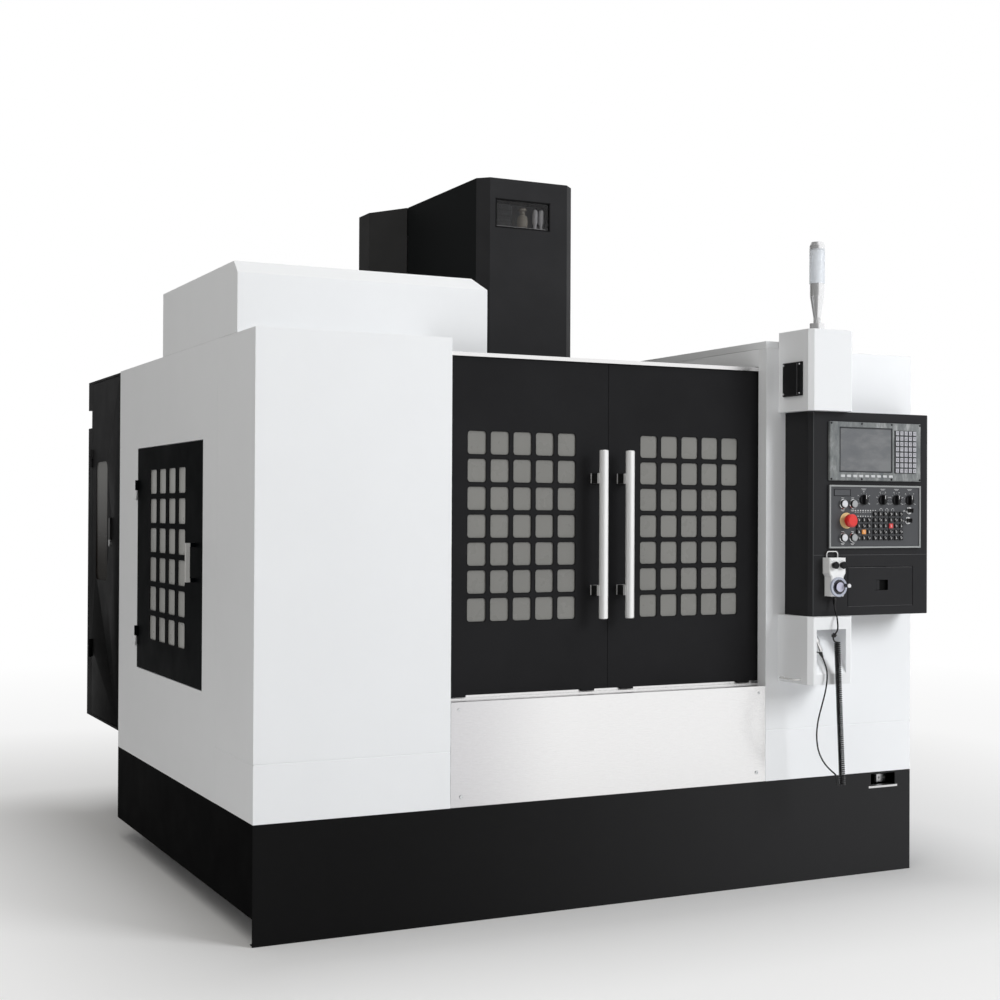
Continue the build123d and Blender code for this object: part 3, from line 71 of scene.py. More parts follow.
# Main planes of the machine in metres, read from the solids
DOOR_SHEET = 0.004
BUTTON_REACH = 0.0173
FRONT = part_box("front_skirt")[0].y
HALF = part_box("front_skirt")[1].x
SILL_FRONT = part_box("sill_panel")[0].y
DOOR_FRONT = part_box("left_door_pane")[0].y - DOOR_SHEET
HEAD_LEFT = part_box("head_cover")[0].x
HEAD_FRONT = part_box("head_cover")[0].y
BLOCK_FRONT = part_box("control_pillar")[0].y
BLOCK_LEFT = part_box("vent_cover")[1].x
BOX_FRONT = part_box("control_box")[0].y
DISPLAY_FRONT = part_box("display_unit")[0].y
PLATE_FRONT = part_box("push_button_1")[0].y + BUTTON_REACH
PENDANT_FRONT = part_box("pendant_dial")[1].y
DIAL_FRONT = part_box("pendant_dial")[0].y


def put_in_scene(name, data):
    """Makes an object of this data and links it to the scene."""
    made = bpy.data.objects.new(name, data)
    scene.collection.objects.link(made)
    return made


# Camera at the photograph's viewing angle

def aim(place, yaw, pitch, roll):
    """Gives the world matrix of a camera that looks along yaw and pitch, in degrees."""
    y, p, r = map(math.radians, (yaw, pitch, roll))
    ahead = Vector((math.sin(y) * math.cos(p), math.cos(y) * math.cos(p), math.sin(p)))
    right = Vector((math.cos(y), -math.sin(y), 0))
    up = right.cross(ahead)
    right, up = (
        math.cos(r) * right + math.sin(r) * up,
        math.cos(r) * up - math.sin(r) * right,
    )
    turn = Matrix((right, up, -ahead)).transposed()
    return Matrix.Translation(place) @ turn.to_4x4()


camera_data = bpy.data.cameras.new("camera")
camera_data.lens = 57.1
camera_data.sensor_width = 36
camera = put_in_scene("camera", camera_data)
camera.matrix_world = aim(place=(-3.1965, -6.68485, 1.543), yaw=26.32, pitch=0.45, roll=0.27)
scene.camera = camera
scene.view_settings.view_transform = "Standard"


# Materials

# Sockets of Blender's Mix node
FACTOR, NUMBER_A, NUMBER_B, COLOR_A, COLOR_B = 0, 2, 3, 6, 7
NUMBER_OUT, COLOR_OUT = 0, 2


class Graph:
    """Adds nodes and links to a node tree."""

    def __init__(self, tree):
        self.tree = tree

    def node(self, kind, **settings):
        made = self.tree.nodes.new(kind)
        for key, value in settings.items():
            setattr(made, key, value)
        return made

    def link(self, source, target):
        self.tree.links.new(source, target)

    def feed(self, socket, value):
        """Sets a socket to a number or a colour, or links an output to it."""
        if isinstance(value, tuple):
            socket.default_value = (*value, 1)
        elif isinstance(value, (int, float)):
            socket.default_value = value
        else:
            self.link(value, socket)

    def math(self, kind, first, second=0.0, third=0.0):
        made = self.node("ShaderNodeMath", operation=kind)
        for socket, value in zip(made.inputs, (first, second, third)):
            self.feed(socket, value)
        return made.outputs["Value"]

    def rise(self, value, low, high, start=0.0):
        """Gives a smooth rise from a start to 1 while a value goes from low to high."""
        made = self.node("ShaderNodeMapRange", interpolation_type="SMOOTHSTEP")
        made.inputs["From Min"].default_value = low
        made.inputs["From Max"].default_value = high
        made.inputs["To Min"].default_value = start
        self.link(value, made.inputs["Value"])
        return made.outputs["Result"]

    def mix_shaders(self, factor, first, second):
        made = self.node("ShaderNodeMixShader")
        for socket, value in zip(made.inputs, (factor, first, second)):
            self.link(value, socket)
        return made.outputs["Shader"]


class Shade(Graph):
    """Builds one procedural material around a Principled shader."""

    def __init__(self, name, color, roughness, metallic=0.0):
        self.material = bpy.data.materials.new(name)
        self.material.use_nodes = True
        super().__init__(self.material.node_tree)
        self.shader = self.tree.nodes["Principled BSDF"]
        self.set("Base Color", (*color, 1))
        self.set("Roughness", roughness)
        self.set("Metallic", metallic)
        self.place = self.node("ShaderNodeTexCoord").outputs["Object"]
        self.split = None
        self.normal = None

    def set(self, name, value):
        self.shader.inputs[name].default_value = value

    def noise(self, scale, detail, stretch=(1, 1, 1), rough=0.55):
        """Gives noise over the place, which can be scaled along each axis."""
        mapping = self.node("ShaderNodeMapping")
        mapping.inputs["Scale"].default_value = stretch
        self.link(self.place, mapping.inputs["Vector"])
        made = self.node("ShaderNodeTexNoise")
        made.inputs["Scale"].default_value = scale
        made.inputs["Detail"].default_value = detail
        made.inputs["Roughness"].default_value = rough
        self.link(mapping.outputs["Vector"], made.inputs["Vector"])
        return made.outputs["Fac"]

    def ramp(self, value, stops):
        """Maps a value through (place, colour or grey) stops."""
        made = self.node("ShaderNodeValToRGB")
        ramp = made.color_ramp
        while len(ramp.elements) < len(stops):
            ramp.elements.new(0.5)
        for element, (place, color) in zip(ramp.elements, stops):
            element.position = place
            element.color = (*color, 1) if isinstance(color, tuple) else (*(color,) * 3, 1)
        self.link(value, made.inputs["Fac"])
        return made.outputs["Color"]

    def mix(self, factor, first, second, kind="MIX"):
        """Blends two colours."""
        made = self.node("ShaderNodeMix", data_type="RGBA", blend_type=kind)
        self.feed(made.inputs[FACTOR], factor)
        self.feed(made.inputs[COLOR_A], first)
        self.feed(made.inputs[COLOR_B], second)
        return made.outputs[COLOR_OUT]

    def lerp(self, factor, first, second):
        """Blends two numbers."""
        made = self.node("ShaderNodeMix", data_type="FLOAT")
        self.feed(made.inputs[FACTOR], factor)
        self.feed(made.inputs[NUMBER_A], first)
        self.feed(made.inputs[NUMBER_B], second)
        return made.outputs[NUMBER_OUT]

    def axis(self, letter):
        """Gives one coordinate of the place."""
        if self.split is None:
            self.split = self.node("ShaderNodeSeparateXYZ")
            self.link(self.place, self.split.inputs["Vector"])
        return self.split.outputs[letter]

    def fade(self, letter, low, high):
        """Gives a smooth rise from 0 to 1 between two places on an axis."""
        return self.rise(self.axis(letter), low, high)

    def both(self, first, second):
        """Gives 1 where two masks are both 1."""
        return self.math("MULTIPLY", first, second)

    def zone(self, **limits):
        """Gives 1 inside a box of (low, high) limits named x, y and z, and 0 elsewhere."""
        mask = None
        for letter, (low, high) in limits.items():
            over = self.math("GREATER_THAN", self.axis(letter.upper()), low)
            under = self.math("LESS_THAN", self.axis(letter.upper()), high)
            part = self.both(over, under)
            mask = part if mask is None else self.both(mask, part)
        return mask

    def disc(self, x, z, radius):
        """Gives 1 within a radius of a line that runs front to back."""
        across = self.math("SUBTRACT", self.axis("X"), x)
        up = self.math("SUBTRACT", self.axis("Z"), z)
        squares = self.math("MULTIPLY_ADD", up, up, self.math("MULTIPLY", across, across))
        return self.math("LESS_THAN", squares, radius * radius)

    def tint(self, value):
        self.link(value, self.shader.inputs["Base Color"])
        self.tinted = value

    def gloss(self, value):
        self.link(value, self.shader.inputs["Roughness"])
        self.rough = value

    def mottle(self, value, dark, light):
        """Varies the base colour between two tones."""
        self.tint(self.ramp(value, [(0.3, dark), (0.7, light)]))

    def wear(self, value, low, high, start=0.25, end=0.75):
        """Varies the roughness between two values."""
        self.gloss(self.ramp(value, [(start, low), (end, high)]))

    def grade(self, letter, low, high, first, second):
        """Runs the base colour from one tone to another along an axis."""
        self.tint(self.mix(self.fade(letter, low, high), first, second))

    def patch(self, mask, color, roughness=None, metallic=None):
        """Gives another finish where a mask is 1."""
        self.tint(self.mix(mask, self.tinted, color))
        if roughness is not None:
            self.gloss(self.lerp(mask, self.rough, roughness))
        if metallic is not None:
            self.link(self.math("MULTIPLY", mask, metallic), self.shader.inputs["Metallic"])

    def insulate(self, mask):
        """Leaves metal only where a mask is 0."""
        self.link(self.math("SUBTRACT", 1.0, mask), self.shader.inputs["Metallic"])

    def bump(self, height, strength, distance):
        made = self.node("ShaderNodeBump")
        made.inputs["Strength"].default_value = strength
        made.inputs["Distance"].default_value = distance
        if self.normal is not None:
            self.link(self.normal, made.inputs["Normal"])
        self.link(height, made.inputs["Height"])
        self.normal = made.outputs["Normal"]
        self.link(self.normal, self.shader.inputs["Normal"])


def around(color, spread):
    """Gives a darker and a lighter tone on either side of a colour."""
    dark = tuple(c * (1 - spread) for c in color)
    light = tuple(min(1, c * (1 + spread)) for c in color)
    return dark, light


def painted(
    name, color, roughness, *, grain=1500, depth=0.00003, spread=0.03, specular=0.5, coat=0.0
):
    """Paint or plastic: soft patches of tone, a fine grain and a little wear in gloss."""
    shade = Shade(name, color, roughness)
    shade.mottle(shade.noise(3, 4), *around(color, spread))
    shade.wear(shade.noise(7, 5), roughness - 0.05, roughness + 0.06)
    shade.bump(shade.noise(grain, 2), 0.35, depth)
    shade.set("Specular IOR Level", specular)
    shade.set("Coat Weight", coat)
    shade.set("Coat Roughness", 0.2)
    return shade


def dark_plastic(name, color, roughness, depth=0.00004, specular=0.2):
    return painted(name, color, roughness, depth=depth, spread=0.1, specular=specular)


def brushed(name, color, roughness, stretch, *, depth=0.00004, spread=0.08):
    """Brushed or ground metal with fine lines across the stretched axes."""
    shade = Shade(name, color, roughness, 1.0)
    lines = shade.noise(60, 6, stretch, 0.7)
    shade.mottle(lines, *around(color, spread))
    shade.wear(lines, roughness - 0.06, roughness + 0.08)
    shade.bump(lines, 0.25, depth)
    return shade


WHITE = (0.85, 0.862, 0.88)
BLACK = (0.0135, 0.0135, 0.0145)
TURNED = (2, 2, 50)


def white_paint(name="white_powder_coat"):
    return painted(name, WHITE, 0.45, grain=900, depth=0.00005, spread=0.01, specular=0.3)


def black_paint(name="black_powder_coat", color=BLACK, specular=0.08):
    return painted(name, color, 0.5, grain=900, depth=0.00006, spread=0.12, specular=specular)


def satin_paint(name="panel_powder_coat"):
    color = (0.022, 0.022, 0.0235)
    return painted(name, color, 0.5, grain=1400, depth=0.0001, spread=0.06, specular=0.1)


def film_paint(name, color=(0.12, 0.123, 0.13)):
    return painted(name, color, 0.45, grain=1800, depth=0.00012, spread=0.06, specular=0.25)


def sheet_steel(name="stainless_brushed"):
    return brushed(name, (0.88, 0.875, 0.875), 0.24, (0.4, 6, 40))


def tube_steel(name="polished_tube"):
    return brushed(name, (0.88, 0.88, 0.88), 0.2, (2, 2, 60), depth=0.00001, spread=0.03)


def window_pane(name, color, roughness, tones, gloss):
    """Gives a pane with soft patches of tone and gloss."""
    shade = Shade(name, color, roughness)
    shade.mottle(shade.noise(1.6, 2), *tones)
    shade.wear(shade.noise(12, 4), *gloss, start=0.3, end=0.7)
    return shade


white = white_paint()
black = black_paint()
satin = satin_paint()
casting = painted(
    "casting_paint", (0.3, 0.31, 0.32), 0.5, grain=90, depth=0.0005, spread=0.08, specular=0.3
)
stainless = sheet_steel()
ground = brushed("ground_iron", (0.42, 0.42, 0.41), 0.34, (30, 1, 1))
machined = brushed("machined_steel", (0.52, 0.52, 0.53), 0.28, (12, 12, 12))
polished = tube_steel()
aluminium = brushed(
    "aluminium_turned", (0.76, 0.77, 0.78), 0.2, TURNED, depth=0.00002, spread=0.05
)
pane = window_pane(
    "tinted_pane", (0.21, 0.208, 0.198), 0.22,
    tones=((0.2, 0.198, 0.188), (0.222, 0.22, 0.208)), gloss=(0.24, 0.34),
)
pane.set("Specular IOR Level", 0.25)

key_plastic = dark_plastic("key_plastic", (0.012, 0.012, 0.013), 0.42, 0.00005)
lamp_plastic = painted("button_lens", (0.66, 0.66, 0.65), 0.28, coat=0.3)
stop_red = painted("stop_red", (0.66, 0.02, 0.016), 0.28, spread=0.05, coat=0.4)
knob_plastic = dark_plastic("knob_plastic", (0.008, 0.008, 0.009), 0.38)
shell = painted("pendant_shell", (0.84, 0.84, 0.83), 0.33, spread=0.02, coat=0.2)
rubber = painted(
    "cord_rubber", (0.008, 0.008, 0.009), 0.26, grain=1200, depth=0.00005, spread=0.15
)
print_white = painted(
    "print_white", (0.6, 0.6, 0.6), 0.55, depth=0.00002, spread=0.05, specular=0.2
)
gasket = painted(
    "gasket_rubber", (0.006, 0.006, 0.0065), 0.6,
    grain=1400, depth=0.00008, spread=0.12, specular=0.1,
)

lens = Shade("clear_lens", (0.9, 0.93, 0.97), 0.16)
lens.set("Transmission Weight", 0.35)
lens.set("IOR", 1.46)
lens.mottle(lens.noise(40, 2, (1, 1, 0.1)), (0.8, 0.84, 0.9), (0.88, 0.91, 0.95))
lens.bump(lens.noise(260, 2, (1, 1, 0.02)), 0.3, 0.0004)

by_slot = {
    "white_paint": white, "black_paint": black, "panel_black": satin, "stainless": stainless,
    "cast_grey": casting, "machined_iron": ground, "steel_parts": machined,
    "window_pane": pane, "handle_metal": polished, "tower_metal": aluminium,
    "tower_lens": lens, "display": film_paint("panel_film"), "keys": key_plastic,
    "button_white": lamp_plastic, "stop_red": stop_red, "knob_black": knob_plastic,
    "pendant_shell": shell, "plug_metal": machined, "cord": rubber,
}
slot_of = {part["node"]: part["material_slot"] for part in frame["record"]["subparts"]}


def dress(node, shade):
    """Gives a CAD node its material."""
    mesh = nodes[node].data
    mesh.materials.clear()
    mesh.materials.append(shade.material)


def soften(node, width):
    """Rounds a CAD node's edges with modifiers, so that they catch the light."""
    node = nodes[node]
    weld = node.modifiers.new("weld", "WELD")
    weld.merge_threshold = 0.00001
    flat = node.modifiers.new("flat", "DECIMATE")
    flat.decimate_type = "DISSOLVE"
    flat.angle_limit = math.radians(0.5)
    bevel = node.modifiers.new("bevel", "BEVEL")
    bevel.width = width
    bevel.segments = 2
    bevel.limit_method = "ANGLE"
    bevel.angle_limit = math.radians(35)
    bevel.harden_normals = True


for node in nodes:
    dress(node, by_slot[slot_of[node]])


# Pieces are made by these helpers

def add(name, made, body, shade, smooth=40):
    """Turns a bmesh into a piece on a body, smooth where its faces meet at small angles."""
    for face in made.faces:
        face.smooth = True
    for edge in made.edges:
        sharp = len(edge.link_faces) == 2 and edge.calc_face_angle() > math.radians(smooth)
        edge.smooth = not sharp
    mesh = bpy.data.meshes.new(name)
    made.to_mesh(mesh)
    made.free()
    mesh.materials.append(shade.material)
    piece = put_in_scene(name, mesh)
    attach(piece, body)


def put_box(made, low, high, bevel=0.0, segments=2):
    """Adds a box with rounded edges to a bmesh."""
    size = Vector(high) - Vector(low)
    middle = (Vector(high) + Vector(low)) / 2
    matrix = Matrix.Translation(middle) @ Matrix.Diagonal((*size, 1))
    verts = bmesh.ops.create_cube(made, size=1, matrix=matrix)["verts"]
    if bevel:
        edges = list({edge for vert in verts for edge in vert.link_edges})
        bmesh.ops.bevel(
            made, geom=edges, offset=bevel, segments=segments, affect="EDGES", profile=0.6
        )


def put_lathe(made, place, axis, outline, steps):
    """Adds a turned form from (radius, height) points, closed at both ends."""
    up = Vector(axis).normalized()
    side = up.orthogonal().normalized()
    across = up.cross(side)
    rings = []
    for radius, height in outline:
        centre = Vector(place) + up * height
        if radius < 1e-6:
            rings.append([made.verts.new(centre)])
            continue
        ring = []
        for step in range(steps):
            turn = 2 * math.pi * step / steps
            reach = side * math.cos(turn) + across * math.sin(turn)
            ring.append(made.verts.new(centre + reach * radius))
        rings.append(ring)
    for low, high in zip(rings, rings[1:]):
        for step in range(steps):
            after = (step + 1) % steps
            if len(low) == 1:
                made.faces.new((low[0], high[step], high[after]))
            elif len(high) == 1:
                made.faces.new((low[step], high[0], low[after]))
            else:
                made.faces.new((low[step], high[step], high[after], low[after]))
    for ring, flip in ((rings[0], False), (rings[-1], True)):
        if len(ring) > 1:
            made.faces.new(list(reversed(ring)) if flip else ring)
    bmesh.ops.recalc_face_normals(made, faces=made.faces[:])


# The pendant's cord: a lead, the curly stretch and a lead that ends in the plug

UPPER_ROUTE = [
    (0.920, -1.45985, 1.190),
    (0.920, -1.46035, 1.166),
    (0.914, -1.47385, 1.144),
    (0.906, -1.49485, 1.127),
    (0.901, -1.50585, 1.101),
    (0.902, -1.50785, 1.070),
]
COIL_ROUTE = [
    (0.897, -1.50835, 1.028),
    (0.907, -1.50685, 0.830),
    (0.917, -1.50685, 0.632),
    (0.927, -1.50685, 0.434),
]
LOWER_ROUTE = [
    (0.9165, -1.4962, 0.4385),
    (0.9065, -1.4985, 0.4435),
    (0.9015, -1.5030, 0.458),
    (0.8985, -1.5063, 0.474),
    (0.889, -1.50685, 0.488),
    (0.872, -1.50685, 0.499),
    (0.835, -1.50685, 0.532),
    (0.806, -1.50585, 0.580),
    (0.796, -1.50485, 0.640),
    (0.803, -1.50385, 0.702),
    (0.823, -1.50285, 0.762),
    (0.845, -1.50085, 0.822),
    (0.858, -1.49685, 0.880),
    (0.857, -1.48885, 0.926),
    (0.850, -1.47485, 0.958),
]
CORD_RADIUS = 0.0032
HELIX_RADIUS = 0.0103
TURNS = 76
TURN_POINTS = 14
COIL_TRIM = (10, -8)  # centre points left out at the coil's two ends
LEAD_IN = ((0.0125, 0.022), (0.0115, 0.0115), (0.0065, 0.0035))  # back along the turn, and up


def spline_curve(name, points, resolution):
    """Makes a curve of one open, smooth spline with these control points."""
    curve = bpy.data.curves.new(name, "CURVE")
    curve.dimensions = "3D"
    spline = curve.splines.new("NURBS")
    spline.points.add(len(points) - 1)
    for control, point in zip(spline.points, points):
        control.co = (*point, 1)
    spline.order_u = 3
    spline.use_endpoint_u = True
    spline.resolution_u = resolution
    return curve


def mesh_of(name, data):
    """Gives the mesh that a curve or a text makes, without its object."""
    guide = put_in_scene(name, data)
    mesh = bpy.data.meshes.new_from_object(guide)
    bpy.data.objects.remove(guide)
    return mesh


def along(points):
    """Reads the places that a smooth spline passes through."""
    mesh = mesh_of("guide", spline_curve("guide", points, 24))
    places = [vertex.co.copy() for vertex in mesh.vertices]
    bpy.data.meshes.remove(mesh)
    return places


def even(places, count):
    """Spreads a number of places evenly along a line."""
    lengths = [0.0]
    for before, after in zip(places, places[1:]):
        lengths.append(lengths[-1] + (after - before).length)
    spread, index = [], 0
    for step in range(count):
        want = lengths[-1] * step / (count - 1)
        while index < len(places) - 2 and lengths[index + 1] < want:
            index += 1
        share = (want - lengths[index]) / (lengths[index + 1] - lengths[index])
        spread.append(places[index].lerp(places[index + 1], min(1, share)))
    return spread


def helix():
    """Winds the curly stretch, with a smooth way into its first turn."""
    centres = even(along(COIL_ROUTE), TURNS * TURN_POINTS + 1)
    inner = centres[slice(*COIL_TRIM)]
    first = math.pi / 2 - 2 * math.pi * (len(inner) - 1) / TURN_POINTS
    outward = Vector((math.cos(first), math.sin(first), 0))
    onward = Vector((-math.sin(first), math.cos(first), 0))
    start = inner[0] + outward * HELIX_RADIUS
    wound = [start - onward * back + Vector((0, 0, rise)) for back, rise in LEAD_IN]
    for index, centre in enumerate(inner):
        turn = first + 2 * math.pi * index / TURN_POINTS
        wound.append(centre + Vector((math.cos(turn), math.sin(turn), 0)) * HELIX_RADIUS)
    return wound


cord_points = [Vector(point) for point in UPPER_ROUTE]
cord_points += helix()
cord_points += [Vector(point) for point in LOWER_ROUTE]
cord_curve = spline_curve("pendant_cord", cord_points, 3)
cord_curve.bevel_depth = CORD_RADIUS
cord_curve.bevel_resolution = 3
cord_curve.use_fill_caps = True
cord_curve.materials.append(rubber.material)
pendant_cord = put_in_scene("pendant_cord", cord_curve)
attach(pendant_cord, "root")
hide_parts("upper_lead", "curly_cord", "lower_lead")
cord_line = along(cord_points)

# Finishes of single nodes, with what is painted, printed or plated on them

HANDLE_STEM = 0.0204  # from a side door's skin to its bar
EDGE_DEPTH = 0.0115  # of the strip at a side door's back edge
DEEP_BLACK = (0.006, 0.006, 0.006)
PLASTIC_BLACK = (0.008, 0.008, 0.008)

for name in ("left_side_door", "right_side_door"):
    # Each side door gets a darker copy of the black paint: painted shade of the machine's left
    # side.
    side_door = black_paint(f"{name}_paint", (0.0012, 0.002, 0.0026), 0.01)
    for bar in ((-ENDLESS, -HALF - HANDLE_STEM), (HALF + HANDLE_STEM, ENDLESS)):
        side_door.patch(side_door.zone(x=bar), (0.62, 0.62, 0.61), 0.4)
    back_edge = (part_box(name)[1].y - EDGE_DEPTH, ENDLESS)
    side_door.patch(side_door.zone(y=back_edge), WHITE, 0.45)
    dress(name, side_door)

skirt = black_paint("front_skirt_paint")
# The black runs lighter towards the right: a painted sheen of the light that falls from the
# right.
skirt.grade("X", -1.3, 1.5, (0.005, 0.005, 0.0052), (0.026, 0.026, 0.027))
lip = skirt.zone(x=(1.26, 1.415), y=(-ENDLESS, FRONT + 0.03), z=(0.3635, 0.3725))
skirt.patch(lip, (0.72, 0.72, 0.72), 0.3, 1.0)
dress("front_skirt", skirt)
# The side skirts get a darker copy of the black paint: painted shade of the machine's left side.
side_paint = black_paint("side_skirt_paint", (0.0016, 0.0016, 0.0018), 0.01)
side_paint.wear(side_paint.noise(7, 5), 0.6, 0.7)
dress("side_skirts", side_paint)
sill = sheet_steel("sill_stainless")
# The stainless darkens towards its left end: painted shade.
sill_painted_shade = sill.mix(1.0, sill.tinted, (0.78, 0.775, 0.79), "MULTIPLY")
sill.grade("X", -0.74, -0.2, sill_painted_shade, sill.tinted)
dress("sill_panel", sill)
head_paint = black_paint("head_paint", (0.028, 0.028, 0.0295), 0.05)
# The left face of the head cover is painted darker than its front: painted shade.
painted_shade_flank = head_paint.zone(x=(-ENDLESS, HEAD_LEFT + 0.0005))
head_paint.patch(painted_shade_flank, (0.009, 0.01, 0.0105), 0.6)
dress("head_cover", head_paint)
dress("column_cover", black_paint("column_paint", (0.036, 0.036, 0.0365), 0.03))
for side, name in SIDES:
    steel = tube_steel(f"{name}_handle_steel")
    steel.set("Metallic", 0.3)
    handle_low, handle_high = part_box(f"{name}_door_handle")
    depth = (handle_low.y + 0.035, handle_high.y - 0.008)
    # The outer sides of each bar's standoffs are painted dark: painted shade.
    for shaded_cheek in ((-ENDLESS, handle_low.x + 0.0006), (handle_high.x - 0.0006, ENDLESS)):
        steel.patch(steel.zone(x=shaded_cheek, y=depth), (0.02, 0.02, 0.02), 0.4)
    dress(f"{name}_door_handle", steel)
# The side panes get a paler tint than the front panes: painted light that makes up for the dimmer
# light on the machine's left.
side_pane = window_pane(
    "side_pane", (0.42, 0.42, 0.41), 0.3,
    tones=((0.38, 0.38, 0.365), (0.46, 0.46, 0.44)), gloss=(0.26, 0.36),
)
for name in ("left_side_pane", "right_side_pane"):
    dress(name, side_pane)


def cabinet_paint(name):
    """Gives the cabinet's black, darker low down and lighter towards the top: painted shade."""
    shade = black_paint(name, specular=0.015)
    shade.grade("Z", 0.7, 2.2, (0.0015, 0.0015, 0.0015), (0.03, 0.03, 0.0315))
    return shade


dress("cabinet_shell", cabinet_paint("cabinet_paint"))
cabinet_door = cabinet_paint("cabinet_door_paint")
sight = cabinet_door.zone(x=(-HALF + 0.003, ENDLESS), z=(1.19, 1.8))
sight_tone = cabinet_door.ramp(
    cabinet_door.fade("Z", 1.3, 1.8), [(0.0, (0.016, 0.013, 0.01)), (1.0, (0.17, 0.17, 0.165))]
)
cabinet_door.patch(sight, sight_tone, 0.2)
dress("cabinet_door", cabinet_door)
lever = painted("lever_enamel", DEEP_BLACK, 0.35, grain=900, spread=0.1, specular=0.3)
lever.patch(lever.zone(z=(-ENDLESS, 1.402)), (0.6, 0.6, 0.6), 0.25, 1.0)
dress("cabinet_lever", lever)

pillar = white_paint("pillar_paint")
bow = pillar.zone(x=(-ENDLESS, BLOCK_LEFT - 0.0006), z=(0.85, 0.885))
pillar.patch(bow, (0.85, 0.85, 0.84), 0.2, 0.3)
# The block's front face is painted a little darker than its sides: painted shade.
pillar.patch(pillar.zone(y=(-ENDLESS, BLOCK_FRONT + 0.0005)), (0.775, 0.785, 0.8))
dress("control_pillar", pillar)

box_paint = satin_paint("control_box_paint")
# A line along the seam across the front and a line at the left front edge are painted lighter:
# painted highlights.
seam = box_paint.zone(y=(-ENDLESS, BOX_FRONT + 0.0005), z=(1.3732, 1.3744))
edge = box_paint.zone(x=(0.8295, 0.8315), y=(-ENDLESS, BOX_FRONT + 0.002))
box_paint.patch(seam, (0.1, 0.1, 0.105), 0.5)
box_paint.patch(edge, (0.085, 0.09, 0.092), 0.5)
dress("control_box", box_paint)
drawer_paint = satin_paint("drawer_paint")
# Lines along the drawer's top and bottom edges are painted lighter: painted highlights.
for heights in ((1.3206, ENDLESS), (-ENDLESS, 1.1606)):
    drawer_paint.patch(drawer_paint.zone(z=heights), (0.12, 0.12, 0.125), 0.45)
# The latch's recess is painted near black: painted shade.
latch_recess_shade = drawer_paint.zone(x=(1.1535, 1.2185), y=(BOX_FRONT + 0.0005, ENDLESS))
drawer_paint.patch(latch_recess_shade, (0.003, 0.003, 0.003), 0.6)
dress("operator_drawer", drawer_paint)

display = film_paint("display_film_paint", (0.19, 0.2, 0.2))
streaks = display.noise(9, 5, (3, 1, 1.2), 0.7)
display.tint(display.ramp(
    streaks, [(0.36, (0.12, 0.13, 0.135)), (0.55, (0.2, 0.21, 0.21)), (0.7, (0.34, 0.35, 0.35))]
))
display.bump(display.noise(38, 3, (2, 1, 1)), 0.6, 0.0009)
dress("display_unit", display)

plate = film_paint("operator_panel_film", (0.066, 0.068, 0.073))
rim = plate.zone(y=(-ENDLESS, PLATE_FRONT - 0.0005))
plate.patch(rim, (0.3, 0.31, 0.31), 0.4)
collar = plate.both(plate.disc(0.992, 1.516, 0.0335), rim)
plate.patch(collar, (0.74, 0.55, 0.27), 0.4)
dress("operator_panel", plate)

# Layout of the control panels in millimetres, by the middles of what they carry
SCREEN_X, SCREEN_Z = 1092, 1810
KEYS_X, KEYS_Z = 1298, 1805
BLANK_X, BLANK_Z = 971, 1632
KNOBS = ((1083, 1603), (1183, 1603), (1256, 1603), (1326, 1603))
BUTTONS = ((974, 1585), (1025, 1585), (974, 1446), (1025, 1446))
LIT_BUTTONS = (1, 3)
SWITCHES = ((1322, 1559), (1316, 1517))
KEY_GROUPS = ((1080, 4), (1166, 5), (1250, 5))  # middle and rows of each group of keys

SPLIT = 1.67  # height between the display's keys and the panel's, in metres
pads = dark_plastic("keypad_plastic", (0.009, 0.009, 0.01), 0.4, 0.00005)
pad_base = pads.zone(y=(PLATE_FRONT - 0.0022, ENDLESS), z=(-ENDLESS, SPLIT))
pads.patch(pad_base, (0.073, 0.075, 0.08), 0.45)
pads.patch(pads.zone(z=(SPLIT, ENDLESS)), (0.07, 0.073, 0.076), 0.45)
caps = pads.zone(y=(-ENDLESS, DISPLAY_FRONT - 0.006), z=(SPLIT, ENDLESS))
pads.patch(caps, (0.42, 0.42, 0.45), 0.4)
for x, z, color in ((1.080, 1.4695, (0.72, 0.3, 0.08)), (1.223, 1.4945, (0.6, 0.05, 0.05))):
    key = pads.zone(
        x=(x - 0.01, x + 0.01), y=(-ENDLESS, PLATE_FRONT - 0.0024), z=(z - 0.01, z + 0.01)
    )
    pads.patch(key, color, 0.35)
dress("keypads", pads)

for number in range(1, len(BUTTONS) + 1):
    tone = (0.62, 0.63, 0.66) if number in LIT_BUTTONS else (0.34, 0.35, 0.36)
    button = painted(f"button_{number}_lens", tone, 0.25, spread=0.04, coat=0.3)
    button.patch(button.zone(y=(PLATE_FRONT - 0.0155, ENDLESS)), DEEP_BLACK, 0.4)
    dress(f"push_button_{number}", button)
for number, (x, z) in enumerate(KNOBS, 1):
    knob = dark_plastic(f"knob_{number}_plastic", (0.008, 0.008, 0.009), 0.36, specular=0.25)
    line = knob.zone(
        x=((x - 1) / MM, (x + 1) / MM),
        y=(-ENDLESS, PLATE_FRONT - 0.012),
        z=((z + 3) / MM, ENDLESS),
    )
    knob.patch(line, (0.8, 0.8, 0.8), 0.4)
    dress(f"selector_knob_{number}", knob)
for number in range(1, len(SWITCHES) + 1):
    barrel = brushed(f"key_switch_{number}_metal", (0.7, 0.7, 0.7), 0.2, TURNED)
    blade = barrel.zone(y=(-ENDLESS, PLATE_FRONT - 0.0068))
    barrel.patch(blade, (0.01, 0.01, 0.011), 0.4)
    barrel.insulate(blade)
    dress(f"key_switch_{number}", barrel)

